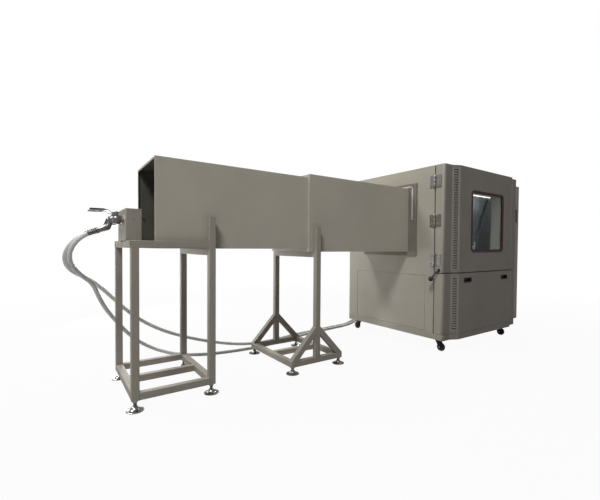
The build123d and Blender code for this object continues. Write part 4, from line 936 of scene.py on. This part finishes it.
class CHAMBER_OT_feet(bpy.types.Operator):
    """Threads and swivel collars of the levelling feet"""

    bl_idname = "chamber.feet"
    bl_label = "Foot threads"

    def execute(self, context):
        start, pitch, root, crest = 0.0265, 0.0018, 0.0079, 0.0094
        swivel = [(0.0145, 0.0195), (0.0158, 0.0202), (0.0158, 0.0232), (0.0138, 0.0248),
                  (0.0095, 0.0252), (0.0095, start)]
        for stand, stem_top in (("nozzle_stand_foot", 0.047), ("tunnel_stand_foot", 0.037)):
            thread = [(root, start)]
            for row in range(int((stem_top - start) / pitch)):
                base = start + row * pitch
                thread += [(crest, base + pitch / 2), (root, base + pitch)]
            for corner in foot_names:
                name = f"{stand}_{corner}"
                centre = centre_of(name)
                ring = turned(f"{name}_collar", swivel + thread, steps=24)
                ring.location = (centre.x, centre.y, 0)
                finish_piece(settle(ring), finishes["chrome"], f"{name}_body")
        return {"FINISHED"}


class CHAMBER_OT_castors(bpy.types.Operator):
    """Axle nuts, hub caps and plate bolts of the castors"""

    bl_idname = "chamber.castors"
    bl_label = "Castor fittings"

    def execute(self, context):
        nut_seat, hub_face, trail = 0.0035, 0.0122, 0.028
        bolt_offset, plate_underside = 0.034, 0.1112
        middle_y = centre_of("castor_plates").y
        forks, wheels, bolts = {}, {}, []
        for corner in corner_names:
            wheel = centre_of(f"castor_wheel_{corner}")
            low, high = corners(f"castor_fork_{corner}")
            ends = ((out_left, low.x + nut_seat), (out_right, high.x - nut_seat))
            forks[f"fork_{corner}"] = [facing(way, (x, wheel.y, wheel.z)) for way, x in ends]
            wheels[f"wheel_{corner}"] = [
                facing((side, 0, 0), (wheel.x + side * hub_face, wheel.y, wheel.z))
                for side in (-1, 1)]
            pivot_y = wheel.y + (trail if wheel.y < middle_y else -trail)
            bolts += [facing(down, (wheel.x + across, pivot_y + ahead, plate_underside))
                      for across in (-bolt_offset, bolt_offset)
                      for ahead in (-bolt_offset, bolt_offset)]
        at_each("axle_nuts", hex_nut(0.0088, 0.005, 0.0032), forks, "zinc")
        cap = turned("hub_master", [(0.0062, -0.0042), (0.0068, 0.0002), (0.0105, 0.0008),
                                    (0.0116, -0.0004), (0.0116, -0.003)], steps=24)
        at_each("hub_caps", cap, wheels, "drive")
        scatter(hex_nut(0.0065, 0.004, 0.001), "castor_plate_bolts", bolts, "zinc", "chamber")
        return {"FINISHED"}


louvre_pitch = 0.021
bevel_start, bevel_width, bevel_depth = 0.096, 0.076, 0.035


def louvre_lip():
    """The rolled lip of a louvre slot, sloping back at the top, at the origin."""
    lip = block("lip", (-0.0205, -0.0022, 0.0), (0.0205, 0.0004, 0.0040), 0.0008, 2)
    return nudge(lip, lambda place: place.y < -0.001 and place.z > 0.002, (0, 0.0015, 0))


def dress_bevels(body, cad_node, louvres, ribs):
    """Lips above and below the louvre slots in both bevels, with a rib along each side, all in a
    lighter coat that paints highlight on the folds.
    """
    low, high = (corner[2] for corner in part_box(cad_node))
    centre = (low + high) / 2
    count = int((high - low - 0.048) / louvre_pitch)
    reach = count * louvre_pitch / 2 + 0.006
    upper, lower = 0.0042, -0.0045
    rib_offset, half_rib = 0.0265, 0.0018
    across = bevel_start + bevel_width / 2
    turn = atan2(bevel_depth, bevel_width)
    lip = louvre_lip()
    places, made = [], []
    for side, x in ((-1, left_face + across), (1, right_face - across)):
        slope = Matrix.Translation(Vector((x, front_face - bevel_depth / 2, 0)))
        slope = slope @ Matrix.Rotation(side * turn, 4, "Z")
        for row in range(count):
            z = centre + (row - (count - 1) / 2) * louvre_pitch
            places.append(slope @ Matrix.Translation(Vector((0, 0, z + upper))))
            places.append(slope @ Matrix.Translation(Vector((0, 0, z + lower)))
                          @ Matrix.Rotation(pi, 4, "Y"))
        for edge in (-rib_offset, rib_offset):
            rib = block("rib", (edge - half_rib, -0.0016, centre - reach),
                        (edge + half_rib, 0.0004, centre + reach), 0.0009, 2)
            rib.data.transform(slope)
            made.append(rib)
    scatter(lip, louvres, places, "rib", body)
    finish_piece(joined(ribs, made), finishes["rib"], body)


class CHAMBER_OT_door_dress(bpy.types.Operator):
    """Louvre lips and ribs, lever screw, wiper cover and nut, and the window's light strip"""

    bl_idname = "chamber.door_dress"
    bl_label = "Door and panel dressing"

    def execute(self, context):
        dress_bevels("door", "door_shell", "door_louvres", "door_ribs")
        dress_bevels("lower_panel", "lower_front_panel", "panel_louvres", "panel_ribs")
        lever_pivot = (left_face - 0.0240, -0.547, 0.699)
        scatter(socket_screw(0.0075), "lever_screw", [facing(out_left, lever_pivot)], "zinc",
                "lever")

        pivot = Vector((centre_of("wiper_drive").x, -0.4935, 0.926))
        half_width, half_depth, start, end = 0.015, 0.0035, 0.075, 0.478
        cover = block("wiper_cover", (-half_width, -half_depth, start),
                      (half_width, half_depth, end), 0.003, 3)
        cover.data.transform(Matrix.Translation(pivot) @ Matrix.Rotation(radians(27), 4, "Y"))
        finish_piece(cover, finishes["blade"], "wiper")

        top, half_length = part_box("window_panes")[1][2], 0.20
        strip = block("window_light", (pivot.x - half_length, -0.541, top - 0.010),
                      (pivot.x + half_length, -0.532, top - 0.004), 0.002, 3)
        finish_piece(strip, finishes["strip"], "door")

        nut = turned("wiper_nut", [(0.0, 0.0105), (0.0045, 0.0102), (0.0062, 0.0085),
                                   (0.0062, 0.0060), (0.0135, 0.0056), (0.0150, 0.0035),
                                   (0.0150, -0.0002)], steps=24)
        nut_seat = (pivot.x, pivot.y - half_depth, pivot.z)
        scatter(nut, "wiper_cap", [facing(out_front, nut_seat)], "chrome", "wiper")
        return {"FINISHED"}


valve_rows = {"handle_large": -0.032, "handle_small": 0.098}
valve_height = 1.036


class CHAMBER_OT_nozzles(bpy.types.Operator):
    """Union nuts, valve rings, stem nuts and handle grips at the spray end"""

    bl_idname = "chamber.nozzles"
    bl_label = "Valve fittings"

    def execute(self, context):
        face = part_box("nozzle_housing")[0][0]
        outlet, stem_setback, stem_rise = 0.0535, 0.036, 0.0402
        unions = [facing(out_left, (face, y, valve_height)) for y in valve_rows.values()]
        rings = [facing(out_left, (face - outlet, y, valve_height)) for y in valve_rows.values()]
        scatter(hex_nut(0.0255, 0.013, 0.019), "union_nuts", unions, "chrome", "chamber")
        ring = turned("ring_master", [(0.0218, 0.0), (0.0246, 0.0), (0.0252, 0.002),
                                      (0.0252, 0.007), (0.0240, 0.009), (0.0218, 0.009)])
        scatter(ring, "valve_rings", rings, "chrome", "chamber")
        grip_length, half_grip, grip_bottom, grip_top = 0.072, 0.0122, 1.0828, 1.0938
        for (body, y), finish in zip(valve_rows.items(), ("grip_dark", "grip_light")):
            stem = facing(up, (face - stem_setback, y, valve_height + stem_rise))
            scatter(hex_nut(0.0085, 0.005, 0.0028), f"stem_nut_{body}", [stem], "zinc", body)
            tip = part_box(f"valve_{body}")[0][0]
            grip = block(f"grip_{body}", (tip - 0.0005, y - half_grip, grip_bottom),
                         (tip + grip_length, y + half_grip, grip_top), 0.0045, 3)
            finish_piece(grip, finishes[finish], body)
        return {"FINISHED"}


def ferrule(radius):
    """A crimped hose ferrule with grip ridges, its mouth at the origin and the hose beyond."""
    profile = [(radius - 0.0006, 0.052), (radius + 0.0018, 0.051)]
    for ridge in range(5):
        base = 0.046 - ridge * 0.009
        profile += [(radius + 0.0022, base), (radius + 0.0046, base - 0.0025),
                    (radius + 0.0022, base - 0.005)]
    profile += [(radius + 0.0050, 0.002), (radius + 0.0050, -0.006), (radius + 0.002, -0.008),
                (radius - 0.002, -0.008)]
    return turned("ferrule_master", profile, steps=28)


class CHAMBER_OT_hose_ends(bpy.types.Operator):
    """Crimped ferrules at both ends of each hose"""

    bl_idname = "chamber.hose_ends"
    bl_label = "Hose ferrules"

    def execute(self, context):
        radius = context.scene.chamber_sizes.hose_diameter / 2
        places = []
        for route in (small_route, large_route):
            points = hose_points(route)
            places.append(facing(points[1] - points[0], points[0]))
            places.append(facing(points[-2] - points[-1], points[-1]))
        scatter(ferrule(radius), "hose_ferrules", places, "nickel", "chamber")
        return {"FINISHED"}


class CHAMBER_OT_inside(bpy.types.Operator):
    """Lamp bezel, drain strainer and turntable rings inside the chamber"""

    bl_idname = "chamber.inside"
    bl_label = "Inside fittings"

    def execute(self, context):
        lamp = centre_of("chamber_lamp")
        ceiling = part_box("chamber_lamp")[1][2]
        bezel = turned("lamp_bezel", [(0.0905, 0.0), (0.0965, 0.0), (0.0965, 0.011),
                                      (0.0925, 0.0175), (0.0800, 0.0185), (0.0775, 0.0155),
                                      (0.0905, 0.0140)], steps=48)
        scatter(bezel, "lamp_bezel", [facing(down, (lamp.x, lamp.y, ceiling))], "turned",
                "chamber")

        table = centre_of("turntable")
        drain_offset, strainer_seat = 0.3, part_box("chamber_floor")[1][2] + 0.002
        strainer = turned("strainer", [
            (0.0, 0.0012), (0.006, 0.0016), (0.008, 0.0006), (0.012, 0.0006), (0.014, 0.0018),
            (0.018, 0.0018), (0.0205, 0.0028), (0.0260, 0.0024), (0.0275, 0.0002)], steps=36)
        scatter(strainer, "drain_strainer",
                [facing(up, (table.x + drain_offset, table.y, strainer_seat))], "turned",
                "chamber")

        ridge = ((-0.0012, -0.0002), (-0.0005, 0.0006), (0.0005, 0.0006), (0.0012, -0.0002))
        rings = turned("rings", [(radius + step, rise) for radius in (0.040, 0.100, 0.190, 0.232)
                                 for step, rise in ridge], steps=72)
        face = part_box("turntable")[1][2]
        scatter(rings, "turntable_rings", [facing(up, (table.x, table.y, face))], "turned",
                "turntable_body")
        return {"FINISHED"}


def fin_row(low, high, count, pitch, rounding):
    """Equal fins one above another; the corners are those of the lowest."""
    rises = [Vector((0, 0, row * pitch)) for row in range(count)]
    return [block("fin", Vector(low) + rise, Vector(high) + rise, rounding) for rise in rises]


class CHAMBER_OT_controls(bpy.types.Operator):
    """Door gap, pilot lamps, locks and vents of the control cabinet"""

    bl_idname = "chamber.controls"
    bl_label = "Control cabinet fittings"

    def execute(self, context):
        low, high = corners("control_cabinet")
        face, centre, centre_y = low.y, (low.x + high.x) / 2, (low.y + high.y) / 2
        gap, inset = 0.0022, 0.016
        left, right, bottom, top = low.x + inset, high.x - inset, low.z + inset, high.z - inset
        edges = [block("gap", (x0, face - 0.0004, z0), (x1, face + 0.0006, z1))
                 for x0, z0, x1, z1 in (
                     (left, bottom, right, bottom + gap), (left, top - gap, right, top),
                     (left, bottom, left + gap, top), (right - gap, bottom, right, top))]
        finish_piece(joined("control_door_gap", edges), finishes["black"], "chamber")

        pilot_height, pilot_pitch = 1.356, 0.055
        lens = turned("lens_master", [(0.0, 0.0135), (0.004, 0.0130), (0.0078, 0.0105),
                                      (0.0092, 0.0070), (0.0092, 0.0040)])
        ring = turned("ring_master", [(0.0090, 0.0), (0.0135, 0.0), (0.0135, 0.0028),
                                      (0.0122, 0.0044), (0.0092, 0.0046), (0.0090, 0.0)])
        places = [facing(out_front, (centre + step * pilot_pitch, face, pilot_height))
                  for step in (-1, 0, 1)]
        for number, (place, colour) in enumerate(zip(places, ("green", "amber", "red"))):
            finish_piece(copies(lens, f"pilot_lamp_{number + 1}", [place]), finishes[colour],
                         "chamber")
        discard(lens)
        scatter(ring, "pilot_rings", places, "chrome", "chamber")

        lock = turned("lock_master", [(0.0, 0.0035), (0.0042, 0.0035), (0.0046, 0.0052),
                                      (0.0092, 0.0052), (0.0112, 0.0030), (0.0112, -0.0002)])
        places = [facing(out_front, (low.x + 0.034, face, z)) for z in (0.42, 0.78, 1.44)]
        scatter(lock, "control_locks", places, "chrome", "chamber")

        count, pitch, height = 9, 0.018, 0.0052
        half_front, front_start, half_side, side_start = 0.075, 0.30, 0.12, 1.18
        fins = fin_row((centre - half_front, face - 0.0032, front_start),
                       (centre + half_front, face + 0.0006, front_start + height),
                       count, pitch, 0.0016)
        fins += fin_row((high.x - 0.0006, centre_y - half_side, side_start),
                        (high.x + 0.0030, centre_y + half_side, side_start + height),
                        count, pitch, 0.0014)
        finish_piece(joined("control_vents", fins), finishes["paint"], "chamber")
        return {"FINISHED"}


class CHAMBER_OT_walls(bpy.types.Operator):
    """Screws of the rear wall and the side access panel, grille fins and outlet nuts"""

    bl_idname = "chamber.walls"
    bl_label = "Wall fittings"

    def execute(self, context):
        radius = context.scene.chamber_sizes.screw_radius
        low, high = corners("rear_wall")
        side_inset, end_inset, rows = 0.03, 0.05, 6
        heights = [low.z + end_inset + row * (high.z - low.z - 2 * end_inset) / (rows - 1)
                   for row in range(rows)]
        columns = (low.x + side_inset, (low.x + high.x) / 2, high.x - side_inset)
        places = [facing(out_rear, (x, high.y, z)) for x in columns for z in heights]
        scatter(socket_screw(radius * 0.9), "rear_wall_screws", places, "zinc", "chamber")

        panel_low, panel_high = corners("side_access_panel")
        inset = 0.014
        columns = (panel_low.y + inset, (panel_low.y + panel_high.y) / 2, panel_high.y - inset)
        places = [facing(out_left, (panel_low.x, y, z))
                  for y in columns for z in (panel_low.z + inset, panel_high.z - inset)]
        scatter(socket_screw(radius * 0.45), "side_panel_screws", places, "paint", "chamber")

        grille_x, half_width, grille_bottom, height = right_face - 0.360, 0.134, 0.3625, 0.006
        fins = fin_row((grille_x - half_width, high.y - 0.0004, grille_bottom),
                       (grille_x + half_width, high.y + 0.006, grille_bottom + height),
                       12, 0.022, 0.0016)
        for fin in fins:
            nudge(fin, lambda place: place.y > high.y + 0.003, (0, 0, -0.004))
        finish_piece(joined("rear_grille_fins", fins), finishes["paint"], "chamber")

        nut = turned("clamp_master", [(0.0125, 0.0), (0.0205, 0.0), (0.0213, 0.002),
                                      (0.0213, 0.012), (0.0205, 0.014), (0.0125, 0.014)])
        outlet_x, outlet_heights = left_face + 0.540, (0.198, 0.262)
        places = [facing(out_rear, (outlet_x, high.y + 0.008, z)) for z in outlet_heights]
        scatter(nut, "outlet_nuts", places, "nickel", "chamber")
        return {"FINISHED"}


# Stage


def seen_directly(tree):
    """1 for camera and transmission rays, and 0 for the light on surfaces."""
    path = tree.nodes.new("ShaderNodeLightPath").outputs
    return maths(tree, "MAXIMUM", path["Is Camera Ray"], path["Is Transmission Ray"])


def add_camera():
    """The photograph's camera, solved from the edges of the cabinet, tunnel and stands."""
    focal_pixels, sensor = 358.2, 36.0
    frame_width, frame_height = 600, 500
    optical_x, optical_y = 307.8, 254.8
    yaw, pitch, roll = radians(35.3), radians(-1.3), radians(0.4)
    bpy.ops.object.camera_add(location=(-2.133, -2.341, 0.887))
    camera = bpy.context.object
    forward = Vector((sin(yaw) * cos(pitch), cos(yaw) * cos(pitch), sin(pitch)))
    level = Vector((cos(yaw), -sin(yaw), 0))
    upright = level.cross(forward)
    right = level * cos(roll) + upright * sin(roll)
    above = upright * cos(roll) - level * sin(roll)
    camera.matrix_world = Matrix.Translation(camera.location) @ Matrix(
        (right, above, -forward)).transposed().to_4x4()
    camera.data.sensor_width = sensor
    camera.data.lens = focal_pixels * sensor / frame_width
    camera.data.shift_x = -(optical_x - frame_width / 2) / frame_width
    camera.data.shift_y = (optical_y - frame_height / 2) / frame_width
    camera.data.clip_end = 100
    bpy.context.scene.camera = camera


def add_floor():
    """A pale floor that keeps the object's shadow near it and fades to white further off."""
    bpy.ops.mesh.primitive_plane_add(size=60, location=(0, 0, 0))
    floor = named("floor")
    material, tree, shader = start_material("studio_floor")
    place = object_place(tree)
    tone = noise(tree, place, 0.6, 3.0)
    tree.links.new(blend_colour(tree, tone, (0.44, 0.44, 0.44), (0.47, 0.47, 0.47)),
                   shader.inputs["Base Color"])
    shader.inputs["Roughness"].default_value = 0.9
    shader.inputs["Specular IOR Level"].default_value = 0.0
    glow = node(tree, "ShaderNodeEmission", Strength=1.0)
    glow.inputs["Color"].default_value = (1, 1, 1, 1)
    reach = node(tree, "ShaderNodeVectorMath", operation="LENGTH", i0=place).outputs["Value"]
    far = node(tree, "ShaderNodeMapRange", Value=reach, From_Min=2.2, From_Max=6.0, To_Min=0.95)
    mix = tree.nodes.new("ShaderNodeMixShader")
    tree.links.new(maths(tree, "MULTIPLY", seen_directly(tree), far.outputs["Result"]),
                   mix.inputs["Fac"])
    tree.links.new(shader.outputs[0], mix.inputs[1])
    tree.links.new(glow.outputs[0], mix.inputs[2])
    tree.links.new(mix.outputs[0], tree.nodes["Material Output"].inputs["Surface"])
    floor.data.materials.append(material)


def add_lamps(key_power):
    """Four round area lamps; each row gives name, place, aim, size and share of the key."""
    lamps = (
        ("front_left_lamp", (-6.6, -4.6, 9.8), (0.0, 0.0, 0.9), 3.0, 1.0),
        ("rear_left_lamp", (-6.6, 4.6, 9.8), (0.0, 0.0, 0.9), 3.0, 0.75),
        ("low_left_lamp", (-1.4, 2.9, 0.7), (0.5, -0.1, 0.4), 1.8, 0.055),
        ("rear_right_lamp", (6.6, 5.0, 8.0), (0.6, 0.0, 0.8), 3.0, 0.5),
    )
    for name, at, aim, size, share in lamps:
        bpy.ops.object.light_add(type="AREA", location=at)
        lamp = bpy.context.object
        lamp.name = name
        lamp.data.shape = "DISK"
        lamp.data.size = size
        lamp.data.energy = key_power * share
        lamp.visible_camera = False
        lamp.rotation_euler = (Vector(aim) - Vector(at)).to_track_quat("-Z", "Y").to_euler()


def add_world(ambient):
    """White where the camera sees it, dim in mirrors and as light on the object."""
    world = bpy.data.worlds.new("studio_world")
    bpy.context.scene.world = world
    world.use_nodes = True
    tree = world.node_tree
    back = tree.nodes["Background"]
    back.inputs["Color"].default_value = (1, 1, 1, 1)
    strength = maths(tree, "MAXIMUM", seen_directly(tree), ambient)
    mirrored = tree.nodes.new("ShaderNodeLightPath").outputs["Is Glossy Ray"]
    strength = maths(tree, "MAXIMUM", strength, maths(tree, "MULTIPLY", mirrored, 0.30))
    tree.links.new(strength, back.inputs["Strength"])


class CHAMBER_OT_stage(bpy.types.Operator):
    """Camera, floor, lamps and background"""

    bl_idname = "chamber.stage"
    bl_label = "Stage"

    def execute(self, context):
        stage = context.scene.chamber_stage
        deselect()
        add_camera()
        add_floor()
        add_lamps(stage.key_power)
        add_world(stage.ambient)
        context.scene.view_settings.view_transform = "Standard"
        return {"FINISHED"}


# Panel and registration


operators = [
    CHAMBER_OT_finishes,
    CHAMBER_OT_hoses,
    CHAMBER_OT_hose_ends,
    CHAMBER_OT_hinges,
    CHAMBER_OT_collar,
    CHAMBER_OT_welds,
    CHAMBER_OT_feet,
    CHAMBER_OT_castors,
    CHAMBER_OT_door_dress,
    CHAMBER_OT_nozzles,
    CHAMBER_OT_inside,
    CHAMBER_OT_controls,
    CHAMBER_OT_walls,
    CHAMBER_OT_stage,
]


class CHAMBER_PT_panel(bpy.types.Panel):
    """Operators, sizes and colours of the chamber"""

    bl_label = "Test Chamber"
    bl_idname = "CHAMBER_PT_panel"
    bl_space_type = "VIEW_3D"
    bl_region_type = "UI"
    bl_category = "Test Chamber"

    def draw(self, context):
        for operator in operators:
            self.layout.operator(operator.bl_idname)
        for group in (context.scene.chamber_sizes, context.scene.chamber_colours,
                      context.scene.chamber_stage):
            for name in group.__annotations__:
                self.layout.prop(group, name)


groups = {"chamber_sizes": ChamberSizes, "chamber_colours": ChamberColours,
          "chamber_stage": ChamberStage}


def register():
    for made in (*groups.values(), *operators, CHAMBER_PT_panel):
        bpy.utils.register_class(made)
    for name, made in groups.items():
        setattr(bpy.types.Scene, name, PointerProperty(type=made))


def unregister():
    for name in groups:
        delattr(bpy.types.Scene, name)
    for made in (CHAMBER_PT_panel, *reversed(operators), *groups.values()):
        bpy.utils.unregister_class(made)


def main():
    register()
    deselect()
    for operator in operators:
        getattr(bpy.ops.chamber, operator.bl_idname.split(".")[1])()


if __name__ == "__main__":
    main()
